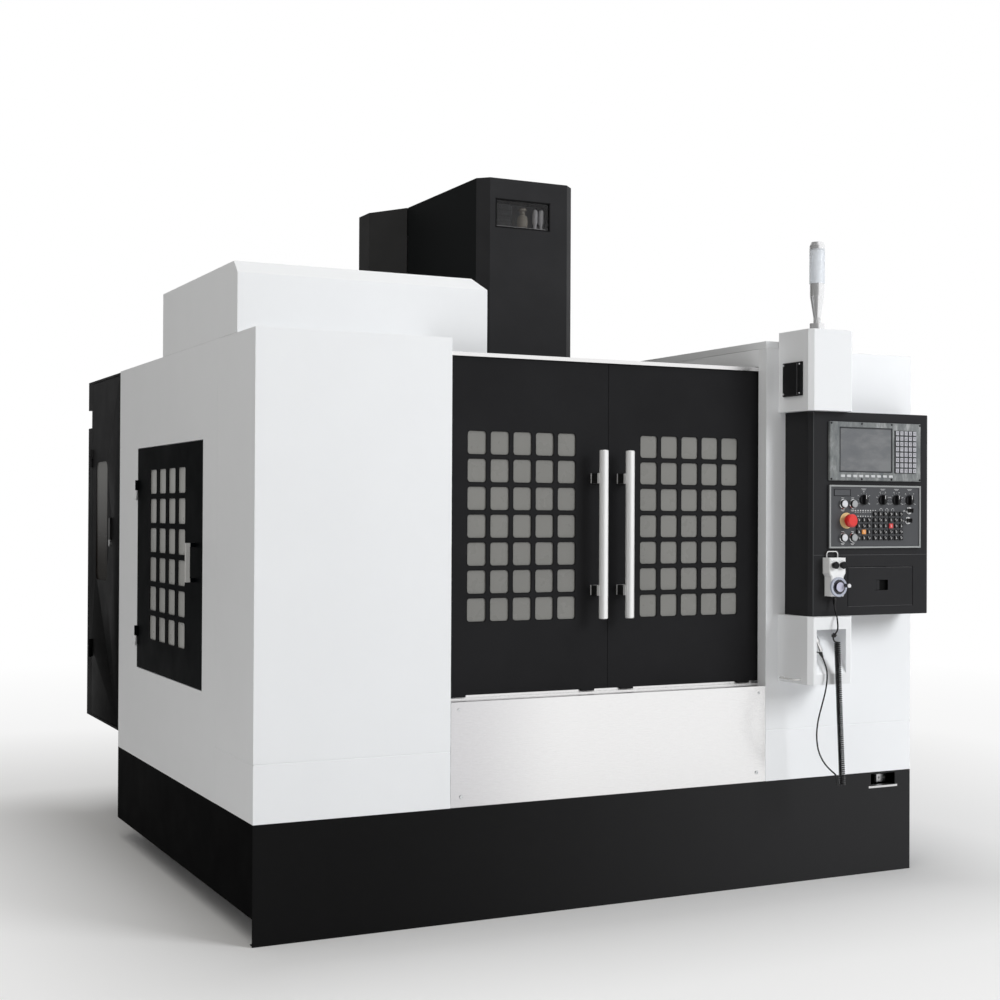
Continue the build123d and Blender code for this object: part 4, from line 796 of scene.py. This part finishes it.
pendant = painted(
    "pendant_body_shell", (0.84, 0.845, 0.85), 0.33, spread=0.02, specular=0.4, coat=0.2
)
sockets = pendant.zone(y=(-ENDLESS, PENDANT_FRONT - 0.0004), z=(1.31, ENDLESS))
pendant.patch(sockets, PLASTIC_BLACK, 0.35)
pendant.patch(pendant.zone(z=(-ENDLESS, 1.2055)), PLASTIC_BLACK, 0.4)
hook = pendant.zone(z=(1.3645, ENDLESS))
pendant.patch(hook, (0.82, 0.82, 0.82), 0.25, 0.9)
dress("pendant_body", pendant)

DIAL_X, DIAL_Z = 0.920, 1.245
dial = painted("pendant_dial_finish", (0.42, 0.45, 0.54), 0.3, spread=0.04, coat=0.2)
dial.patch(dial.disc(DIAL_X, DIAL_Z, 0.0305), (0.02, 0.02, 0.03), 0.3)
dial.patch(dial.disc(DIAL_X, DIAL_Z, 0.0195), (0.5, 0.5, 0.62), 0.3)
crank = dial.disc(0.946, 1.251, 0.0084)
dial.patch(crank, PLASTIC_BLACK, 0.3)
crank_tip = dial.both(crank, dial.zone(y=(-ENDLESS, DIAL_FRONT + 0.004)))
dial.patch(crank_tip, (0.7, 0.7, 0.72), 0.3)
dress("pendant_dial", dial)

plug = brushed(
    "plug_chrome", (0.82, 0.82, 0.82), 0.14, (2, 2, 60), depth=0.00002, spread=0.05
)
plug.rough = 0.14
boot = plug.zone(z=(-ENDLESS, 0.9815))
plug.patch(boot, (0.01, 0.01, 0.01), 0.45)
plug.insulate(boot)
dress("pendant_plug", plug)

vent = black_paint("fan_cover_paint")
groove = vent.zone(
    x=(-ENDLESS, BLOCK_LEFT - 0.0055), y=(FRONT - 0.1415, FRONT - 0.1365), z=(2.03, 2.16)
)
vent.patch(groove, (0.13, 0.13, 0.135), 0.45)
dress("vent_cover", vent)

tower = brushed(
    "tower_chrome", (0.84, 0.84, 0.85), 0.12, TURNED, depth=0.00002, spread=0.05
)
knurl = tower.node("ShaderNodeTexChecker")
knurl.inputs["Scale"].default_value = 700
tower.link(tower.place, knurl.inputs["Vector"])
neck = tower.both(knurl.outputs["Fac"], tower.zone(z=(2.333, 2.358)))
tower.bump(neck, 0.6, 0.0008)
tower.set("Metallic", 0.65)
dress("tower_light_base", tower)


# Small pieces of the controls

STROKE = 1.6  # width of a printed stroke, in millimetres
PRINT = 0.2  # thickness of a print, in millimetres
KEY_RISE = 0.0069  # from a panel's front to the tops of its keys


def on_front(made, plane, x, z, width, height, depth, bevel=0.0):
    """Adds a plate in millimetres that stands out from a front face at a plane in metres."""
    half_x, half_z = width / (2 * MM), height / (2 * MM)
    low = (x / MM - half_x, plane - depth / MM, z / MM - half_z)
    high = (x / MM + half_x, plane, z / MM + half_z)
    put_box(made, low, high, bevel / MM, 1)


def put_screw(made, place, axis, radius, height):
    """Adds a button head screw with its socket."""
    outline = [
        (radius, -0.0004), (radius, height * 0.45), (radius * 0.8, height),
        (radius * 0.48, height), (radius * 0.48, height * 0.3), (0, height * 0.3),
    ]
    put_lathe(made, place, axis, outline, 12)


def put_ring(made, place, axis, inner, outer, low, high, steps=28):
    """Adds a ring whose section is a bevelled rectangle."""
    rim = (high - low) * 0.25
    outline = [
        (inner, low), (outer, low), (outer, high - rim), (outer - rim, high),
        (inner + rim, high), (inner, high - rim), (inner, low),
    ]
    put_lathe(made, place, axis, outline, steps)


def put_text(made, text, size, matrix):
    """Adds flat raised digits."""
    data = bpy.data.curves.new("digits", "FONT")
    data.body = text
    data.size = size
    data.extrude = 0.00008
    data.resolution_u = 2
    data.align_x = "CENTER"
    data.align_y = "CENTER"
    mesh = mesh_of("digits", data)
    mesh.transform(matrix)
    made.from_mesh(mesh)
    bpy.data.meshes.remove(mesh)


def put_stroke(made, place, turn, size):
    """Adds one stroke of a scale, turned about a line that runs front to back."""
    matrix = Matrix.Translation(place) @ Matrix.Rotation(turn, 4, "Y")
    bmesh.ops.create_cube(made, size=1, matrix=matrix @ Matrix.Diagonal((*size, 1)))


def facing(place, turn=0.0):
    """Gives the matrix of something flat that faces the front at a place."""
    upright = Matrix.Rotation(math.pi / 2, 4, "X")
    return Matrix.Translation(place) @ Matrix.Rotation(-turn, 4, "Y") @ upright


def on_circle(x, y, z, reach, turn):
    """Gives the place at a turn from the top of a circle that faces the front."""
    return (x + reach * math.sin(turn), y, z + reach * math.cos(turn))


# The screen, its soft keys and the screws around the display
screen = film_paint("screen_glass", (0.2, 0.207, 0.215))
waves = screen.noise(7, 4, (1, 1, 2.2), 0.6)
screen.tint(screen.ramp(waves, [
    (0.3, (0.12, 0.126, 0.135)), (0.5, (0.145, 0.15, 0.157)), (0.62, (0.18, 0.185, 0.19)),
]))
screen.bump(waves, 0.5, 0.0012)
made = bmesh.new()
on_front(made, DISPLAY_FRONT + 0.0040, SCREEN_X, SCREEN_Z, 267, 177, 2.2, 0.5)
add("screen_glass", made, "root", screen)
frame_dark = painted(
    "screen_frame_plastic", (0.035, 0.037, 0.04), 0.4,
    depth=0.00004, spread=0.08, specular=0.25,
)
made = bmesh.new()
for z in (SCREEN_Z + 91, SCREEN_Z - 91):
    on_front(made, DISPLAY_FRONT + 0.0005, SCREEN_X, z, 276, 5, 1.6, 0.6)
for x in (SCREEN_X - 136, SCREEN_X + 136):
    on_front(made, DISPLAY_FRONT + 0.0005, x, SCREEN_Z, 5, 182, 1.6, 0.6)
add("screen_frame", made, "root", frame_dark)
soft = painted(
    "soft_key_plastic", (0.55, 0.56, 0.57), 0.4, depth=0.00004, spread=0.05, specular=0.3
)
made = bmesh.new()
for index in range(9):
    on_front(made, DISPLAY_FRONT + 0.0003, 970 + 31.4 * index, 1701, 21, 10, 2.4, 1.0)
add("soft_keys", made, "root", soft)
made = bmesh.new()
for z in (1688, 1918):
    for x in (912, 1069, 1226, 1377):
        put_screw(made, (x / MM, DISPLAY_FRONT, z / MM), AHEAD, 0.0042, 0.002)
add("display_screws", made, "root", knob_plastic)

# Legends of the keys, as plain strokes
made = bmesh.new()
for column in range(5):
    for row in range(8):
        x, z = KEYS_X + (column - 2) * 23, KEYS_Z + (row - 3.5) * 22.5
        kind = (column * 3 + row * 5) % 4
        for shift, rise, width in ((0, 2.5, 6 + kind), (kind - 1, -2.5, 9 - 2 * kind)):
            on_front(made, DISPLAY_FRONT - KEY_RISE, x + shift, z + rise, width, 1.3, 0.25)
add("key_legends_dark", made, "root", knob_plastic)
made = bmesh.new()
for group_x, rows in KEY_GROUPS:
    for column in range(3):
        for row in range(rows):
            x = group_x + (column - 1) * 27
            z = 1432 + rows * 12.5 + (row - (rows - 1) / 2) * 25
            kind = (column * 2 + row * 3 + rows) % 4
            for shift, rise, width, height in (
                (kind - 3, 3.5, 7, 1.7), (4 - kind, 0, 1.9, 6.5), (1, -4, 5 + kind, 1.5),
            ):
                on_front(made, PLATE_FRONT - KEY_RISE, x + shift, z + rise, width, height, 0.25)

# Scales round the knobs, marks by the buttons and the small lamps of the panel
for (x, z), marks in zip(KNOBS, (9, 11, 11, 7)):
    centre = (x / MM, PLATE_FRONT - 0.0001, z / MM)
    for index in range(marks):
        turn = math.radians(-120 + 240 * index / (marks - 1))
        long = 0.0021 if index % 2 else 0.0033
        put_stroke(made, on_circle(*centre, 0.028, turn), turn, (0.0011, 0.0003, long))
        if index % 2 == 0:
            put_text(made, str(index * 10), 0.0062, facing(on_circle(*centre, 0.0345, turn)))
    for width, rise in ((26, 45), (16, 41)):
        on_front(made, PLATE_FRONT, x, z + rise, width, 1.4, PRINT)
for x, z in BUTTONS:
    for rise, width in ((25, 14), (-25, 20), (-29, 12)):
        on_front(made, PLATE_FRONT, x, z + rise, width, 1.7, PRINT)
for row, z in enumerate((1558, 1534)):
    for index in range(9):
        x = 1040 + 13 * index
        on_front(made, PLATE_FRONT, x, z, 5, 5, 0.5)
        on_front(made, PLATE_FRONT, x, z - 7, 8 - (index + row) % 3, 1.4, PRINT)
for x in (1174, 1205, 1236):
    on_front(made, PLATE_FRONT, x, 1549, 17, STROKE, PRINT)
    for post in (x - 6, x + 6):
        on_front(made, PLATE_FRONT, post, 1558, STROKE, 14, PRINT)
    on_front(made, PLATE_FRONT, x, 1567, 9, STROKE, PRINT)
for x, z in SWITCHES:
    on_front(made, PLATE_FRONT, x - 24, z, 9, STROKE, PRINT)
    on_front(made, PLATE_FRONT, x - 24, z - 4, 13, 1.3, PRINT)
add("panel_prints", made, "root", print_white)

# A plain plate in the panel's corner, the fixed rings of the buttons and the drawer's latch
made = bmesh.new()
on_front(made, PLATE_FRONT + 0.0002, BLANK_X, BLANK_Z, 80, 25, 1.6, 0.6)
blank_film = film_paint("blank_plate_film", (0.075, 0.077, 0.083))
add("blank_plate", made, "root", blank_film)
made = bmesh.new()
for z in (BLANK_Z + 13.5, BLANK_Z - 13.5):
    on_front(made, PLATE_FRONT, BLANK_X, z, 86, 2, 2.2, 0.6)
for x in (BLANK_X - 41.5, BLANK_X + 41.5):
    on_front(made, PLATE_FRONT, x, BLANK_Z, 3, 29, 2.2, 0.6)
add("blank_plate_frame", made, "root", knob_plastic)
made = bmesh.new()
for places, inner, outer, rise in (
    (BUTTONS, 0.0166, 0.0205, 0.0085), (SWITCHES, 0.0124, 0.0155, 0.004),
):
    for x, z in places:
        put_ring(made, (x / MM, PLATE_FRONT, z / MM), AHEAD, inner, outer, -0.0002, rise)
add("button_bezels", made, "root", aluminium)
made = bmesh.new()
put_box(
    made, (1.1545, BOX_FRONT + 0.002, 1.2265), (1.1755, BOX_FRONT + 0.0138, 1.2675), 0.0012
)
add("drawer_latch", made, "operator_drawer", satin)

# Scale of the pendant's dial and marks by its knobs
made = bmesh.new()
for index in range(50):
    turn = 2 * math.pi * index / 50
    long = 0.006 if index % 5 == 0 else 0.0035
    place = on_circle(DIAL_X, PENDANT_FRONT - 0.0084, DIAL_Z, 0.039 - long / 2, turn)
    put_stroke(made, place, turn, (0.0006, 0.0004, long))
    if index % 10 == 0:
        place = on_circle(DIAL_X, PENDANT_FRONT - 0.0085, DIAL_Z, 0.0302, turn)
        put_text(made, str(index * 2), 0.0055, facing(place, -turn))
add("dial_scale", made, "pendant_dial", print_white)
made = bmesh.new()
for side, _ in SIDES:
    put_lathe(
        made, (DIAL_X + side * 0.020, PENDANT_FRONT - 0.0115, 1.334), AHEAD,
        [(0.0155, 0), (0.0155, 0.0035), (0.0135, 0.006), (0.005, 0.0066), (0, 0.0066)], 10,
    )
add("pendant_knob_caps", made, "root", knob_plastic, smooth=25)
made = bmesh.new()
for side, _ in SIDES:
    for index in range(4):
        x = 920 + side * 20 + (index - 1.5) * 7
        on_front(made, PENDANT_FRONT, x, 1352 - abs(index - 1.5) * 1.5, 1.2, 3, PRINT)
add("pendant_marks", made, "root", knob_plastic)

# Relief under the pendant, clamp over the coil and the plug's socket
made = bmesh.new()
outline = [(0.0078, 0.0)]
for rib in range(6):
    thick = 0.0078 - 0.0004 * rib
    for inset, rise in ((0, 0.0008), (0, 0.0026), (0.0016, 0.0032)):
        outline.append((thick - inset, rise + 0.004 * rib))
put_lathe(made, (0.920, -1.45985, 1.1955), (0.0, -0.012, -1), outline, 20)
add("lead_relief", made, "root", rubber)
made = bmesh.new()
knot, beyond_knot = [place for place in cord_line if 1.036 < place.z < 1.056][::8][:2]
put_ring(made, knot, beyond_knot - knot, 0.003, 0.0095, 0.0, 0.014, 20)
put_box(made, knot - Vector((0.017, 0.004, 0.013)), knot - Vector((0.0075, -0.004, 0.001)), 0.002)
add("coil_clamp", made, "root", rubber)
made = bmesh.new()
along_plug = (Vector(LOWER_ROUTE[-2]) - Vector(LOWER_ROUTE[-1])).normalized()
put_lathe(
    made, (0.8236, -1.4222, 1.0784), along_plug,
    [
        (0.0142, 0.006), (0.0178, 0.008), (0.0178, 0.02), (0.0146, 0.022),
        (0.0146, 0.044), (0.0158, 0.046), (0.0158, 0.0495),
    ],
    28,
)
add("plug_socket", made, "root", aluminium)


# Rounded rubber seals in the windows of the doors

def rounded(width, height, radius, steps=4):
    """Gives the points of a rectangle with rounded corners."""
    points = []
    for corner, (sx, sz) in enumerate(((1, 1), (-1, 1), (-1, -1), (1, -1))):
        for step in range(steps + 1):
            turn = math.pi / 2 * (corner + step / steps)
            points.append((
                sx * (width / 2 - radius) + radius * math.cos(turn),
                sz * (height / 2 - radius) + radius * math.sin(turn),
            ))
    return points


def put_seal(made, centre, across, out, width, height, radius):
    """Adds one seal that lines a window and lies a little over its edge."""
    centre, across, out, up = map(Vector, (centre, across, out, UP))
    rings = []
    for inset, rise in ((0.001, -0.0022), (0.001, 0.0007), (-0.0012, 0.0007), (-0.0012, -0.0002)):
        ring = []
        for a, b in rounded(width - 2 * inset, height - 2 * inset, radius - inset):
            ring.append(made.verts.new(centre + across * a + up * b + out * rise))
        rings.append(ring)
    count = len(rings[0])
    for low, high in zip(rings, rings[1:] + rings[:1]):
        for index in range(count):
            after = (index + 1) % count
            made.faces.new((low[index], low[after], high[after], high[index]))


def add_seals(body, middle, across, out, grid, pitch, size):
    """Adds the seals of one door's windows, in columns and rows round a middle."""
    made = bmesh.new()
    for column in range(grid[0]):
        for row in range(grid[1]):
            shift = Vector(across) * (column - (grid[0] - 1) / 2) * pitch[0]
            rise = Vector(UP) * (row - (grid[1] - 1) / 2) * pitch[1]
            put_seal(made, Vector(middle) + shift + rise, across, out, *size)
    bmesh.ops.recalc_face_normals(made, faces=made.faces[:])
    add(f"{body}_seals", made, body, gasket)


for side, name in SIDES:
    add_seals(
        f"{name}_door", (side * 0.385, DOOR_FRONT, 1.490), across=(1, 0, 0), out=AHEAD,
        grid=(5, 7), pitch=(0.098, 0.107), size=(0.081, 0.091, 0.0125),
    )
    add_seals(
        f"{name}_side_door", (side * HALF, FRONT + 1.212, 1.352), across=(0, 1, 0),
        out=(side, 0, 0), grid=(4, 6), pitch=(0.156, 0.127), size=(0.115, 0.106, 0.0115),
    )

# Screws of the sill, the rails and the fan cover
made = bmesh.new()
for side, _ in SIDES:
    put_screw(made, (side * 0.6735, SILL_FRONT, 0.472), AHEAD, 0.008, 0.004)
    put_screw(made, (side * 0.6845, SILL_FRONT, 0.8), AHEAD, 0.006, 0.003)
for y in (FRONT - 0.155, FRONT - 0.049):
    for z in (2.037, 2.156):
        put_screw(made, (BLOCK_LEFT - 0.0119, y, z), (-1, 0, 0), 0.0045, 0.0025)
add("front_screws", made, "root", aluminium)

# Strips in the seams of the column panels, and the lining beside the opening's top
SEAM_LOW, SEAM_HIGH = 0.6425, 0.6465
NEAR, DEEP = 0.0012, 0.0035  # from a panel's face to the two faces of its strip
made = bmesh.new()
for side, _ in SIDES:
    for start, depth in ((0.7185, DEEP), (HALF - DEEP, 0.4705)):
        left, right = sorted((side * start, side * (HALF - NEAR)))
        put_box(made, (left, FRONT + NEAR, SEAM_LOW), (right, FRONT + depth, SEAM_HIGH))
add("panel_seam_strips", made, "root", white)
made = bmesh.new()
for corner in ((0.7216, -0.42, 2.2318), (0.735, -0.42, 2.161)):
    put_box(made, (0.7186, FRONT + 0.0585, 2.158), corner, 0.0006)
add("opening_lining", made, "root", white)

# Screws on the backs of the column cover and the right side panel
made = bmesh.new()
rear_low, rear_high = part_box("column_cover")
for x in (rear_low.x + 0.03, 0.0, rear_high.x - 0.03):
    for z in (2.2, 2.575, 2.95):
        put_screw(made, (x, rear_high.y, z), BEHIND, 0.006, 0.003)
for z in (0.48, 1.05, 1.62, 2.19):
    for x in (0.46, HALF - 0.03):
        put_screw(made, (x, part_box("right_side_panel")[1].y, z), BEHIND, 0.006, 0.003)
add("rear_screws", made, "root", aluminium)

# Glass, gasket and fittings in the window of the head cover
dark_glass = Shade("head_window_glass", (0.02, 0.02, 0.022), 0.08)
dark_glass.set("Alpha", 0.3)
dark_glass.mottle(dark_glass.noise(8, 2), (0.015, 0.015, 0.017), (0.028, 0.027, 0.027))
made = bmesh.new()
put_box(made, (-0.168, HEAD_FRONT + 0.0035, 2.781), (0.11, HEAD_FRONT + 0.0085, 2.917), 0.001)
add("head_window_glass", made, "head", dark_glass)
made = bmesh.new()
for left, low, right, high in (
    (-0.1635, 2.7855, -0.1575, 2.9125), (0.0995, 2.7855, 0.1055, 2.9125),
    (-0.1635, 2.7855, 0.1055, 2.7915), (-0.1635, 2.9065, 0.1055, 2.9125),
):
    put_box(made, (left, HEAD_FRONT - 0.0012, low), (right, HEAD_FRONT + 0.0034, high), 0.0008)
add("head_window_seal", made, "head", gasket)
bright = painted(
    "fitting_plastic", (0.75, 0.74, 0.76), 0.35, grain=1200, spread=0.05, specular=0.4
)
amber = painted("fitting_bowl", (0.42, 0.38, 0.32), 0.25, grain=1200, spread=0.15, coat=0.3)
made = bmesh.new()
put_box(made, (-0.155, HEAD_FRONT + 0.009, 2.7915), (0.1, HEAD_FRONT + 0.075, 2.7955), 0.001)
for x in (0.048, 0.078):
    put_lathe(
        made, (x, HEAD_FRONT + 0.035, 2.795), UP,
        [(0.007, 0), (0.007, 0.02), (0.0115, 0.03), (0.0115, 0.078), (0.008, 0.088), (0, 0.09)],
        20,
    )
add("head_fittings", made, "head", bright)
made = bmesh.new()
put_lathe(
    made, (-0.012, HEAD_FRONT + 0.04, 2.7955), UP,
    [
        (0.012, 0), (0.022, 0.008), (0.025, 0.03), (0.021, 0.052), (0.012, 0.058),
        (0.012, 0.075), (0.018, 0.078), (0.018, 0.088), (0, 0.09),
    ],
    24,
)
add("head_bowl", made, "head", amber)
made = bmesh.new()
put_box(made, (-0.148, HEAD_FRONT + 0.02, 2.7955), (-0.075, HEAD_FRONT + 0.06, 2.893), 0.002)
for low in (2.815, 2.84, 2.865):
    put_box(
        made, (-0.142, HEAD_FRONT + 0.0188, low), (-0.081, HEAD_FRONT + 0.0205, low + 0.012),
        0.0006,
    )
add("head_terminal_box", made, "head", frame_dark)

# Parts behind the grab opening of the front skirt
made = bmesh.new()
put_box(made, (1.343, FRONT + 0.05, 0.376), (1.396, FRONT + 0.062, 0.412), 0.002)
for x in (1.356, 1.383):
    put_screw(made, (x, FRONT + 0.05, 0.396), AHEAD, 0.005, 0.003)
add("skirt_bracket", made, "root", machined)

# Rounded edges on the sheet metal, castings and controls, by their width
EDGES = {
    0.0008: ("display_unit", "operator_panel", "keypads"),
    0.0015: (
        "left_column_panel", "right_column_panel", "left_side_panel", "right_side_panel",
        "control_box", "operator_drawer", "head_cover", "column_cover", "cabinet_door",
    ),
    0.002: (
        "left_roof_cover", "right_roof_cover", "control_pillar", "front_skirt", "sill_panel"
    ),
}
for width, names in EDGES.items():
    for name in names:
        soften(name, width)

# Plain pale floor that lightens with distance from the machine
DIM_SIDE = 0.12  # strength of what is mirrored from the machine's left
FOOTPRINT = 1.5  # half of the machine's width and depth
FADE_LENGTH = 8.0
floor_made = bmesh.new()
bmesh.ops.create_grid(floor_made, x_segments=1, y_segments=1, size=60)
floor_mesh = bpy.data.meshes.new("floor")
floor_made.to_mesh(floor_mesh)
floor_made.free()
floor = put_in_scene("floor", floor_mesh)
floor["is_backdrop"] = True
pale = Shade("pale_floor", (0.8, 0.8, 0.8), 0.9)
pale.set("Specular IOR Level", 0.1)
away = []
for letter in ("X", "Y"):
    size = pale.math("ABSOLUTE", pale.axis(letter))
    away.append(pale.math("MAXIMUM", pale.math("SUBTRACT", size, FOOTPRINT), 0.0))
squares = pale.math("MULTIPLY_ADD", away[0], away[0], pale.math("MULTIPLY", away[1], away[1]))
distance = pale.math("SQRT", squares)
far = pale.ramp(
    pale.math("DIVIDE", distance, FADE_LENGTH),
    [(0.0, 0.0), (0.1, 0.45), (0.4, 0.85), (1.0, 1.0)],
)
pale.tint(pale.mix(far, (0.78, 0.78, 0.785), (0.9, 0.9, 0.9)))
rays = pale.node("ShaderNodeLightPath").outputs
seen = pale.math("MAXIMUM", rays["Is Camera Ray"], rays["Is Glossy Ray"])
glow = pale.node("ShaderNodeEmission")
dim = pale.lerp(pale.fade("X", -5.0, -2.0), DIM_SIDE, 1.0)
pale.link(pale.lerp(rays["Is Camera Ray"], dim, 1.0), glow.inputs["Strength"])
blend = pale.mix_shaders(
    pale.math("MULTIPLY", seen, far), pale.shader.outputs["BSDF"], glow.outputs["Emission"]
)
pale.link(blend, pale.tree.nodes["Material Output"].inputs["Surface"])
floor_mesh.materials.append(pale.material)

# White surroundings, dimmer in reflections from the machine's left, and soft light
world = bpy.data.worlds.new("studio")
world.use_nodes = True
scene.world = world
studio = Graph(world.node_tree)
soft_light = studio.tree.nodes["Background"]
soft_light.inputs["Color"].default_value = (1.0, 0.99, 0.97, 1)
soft_light.inputs["Strength"].default_value = 0.36
plain = studio.node("ShaderNodeBackground")
mirrored = studio.node("ShaderNodeBackground")
for surround in (plain, mirrored):
    surround.inputs["Color"].default_value = (1, 1, 1, 1)
direction = studio.node("ShaderNodeSeparateXYZ")
studio.link(studio.node("ShaderNodeTexCoord").outputs["Generated"], direction.inputs["Vector"])
dimmer = studio.rise(direction.outputs["X"], -0.45, 0.05, DIM_SIDE)
studio.link(dimmer, mirrored.inputs["Strength"])
rays = studio.node("ShaderNodeLightPath").outputs
clear = studio.math("MAXIMUM", rays["Is Camera Ray"], rays["Is Transmission Ray"])
in_mirror = studio.mix_shaders(
    rays["Is Glossy Ray"], soft_light.outputs["Background"], mirrored.outputs["Background"]
)
choice = studio.mix_shaders(clear, in_mirror, plain.outputs["Background"])
studio.link(choice, studio.tree.nodes["World Output"].inputs["Surface"])


def lamp(name, place, target, size, power, color):
    """Adds a soft square lamp aimed at a point, unseen by the camera and in gloss."""
    data = bpy.data.lights.new(name, "AREA")
    data.shape = "SQUARE"
    data.size = size
    data.energy = power
    data.color = color
    made = put_in_scene(name, data)
    made.location = place
    made.visible_camera = False
    made.visible_glossy = False
    aimed = Vector(target) - Vector(place)
    made.rotation_euler = aimed.to_track_quat("-Z", "Y").to_euler()


lamp(
    "front_lamp", place=(6.0, -9.5, 5.5), target=(0, -1.2, 1.2),
    size=4.5, power=755, color=(0.97, 0.985, 1.0),
)
lamp(
    "side_lamp", place=(-4.0, -3.0, 8.0), target=(0.5, -0.8, 1.5),
    size=5.0, power=152, color=(1.0, 0.98, 0.93),
)

low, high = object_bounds()
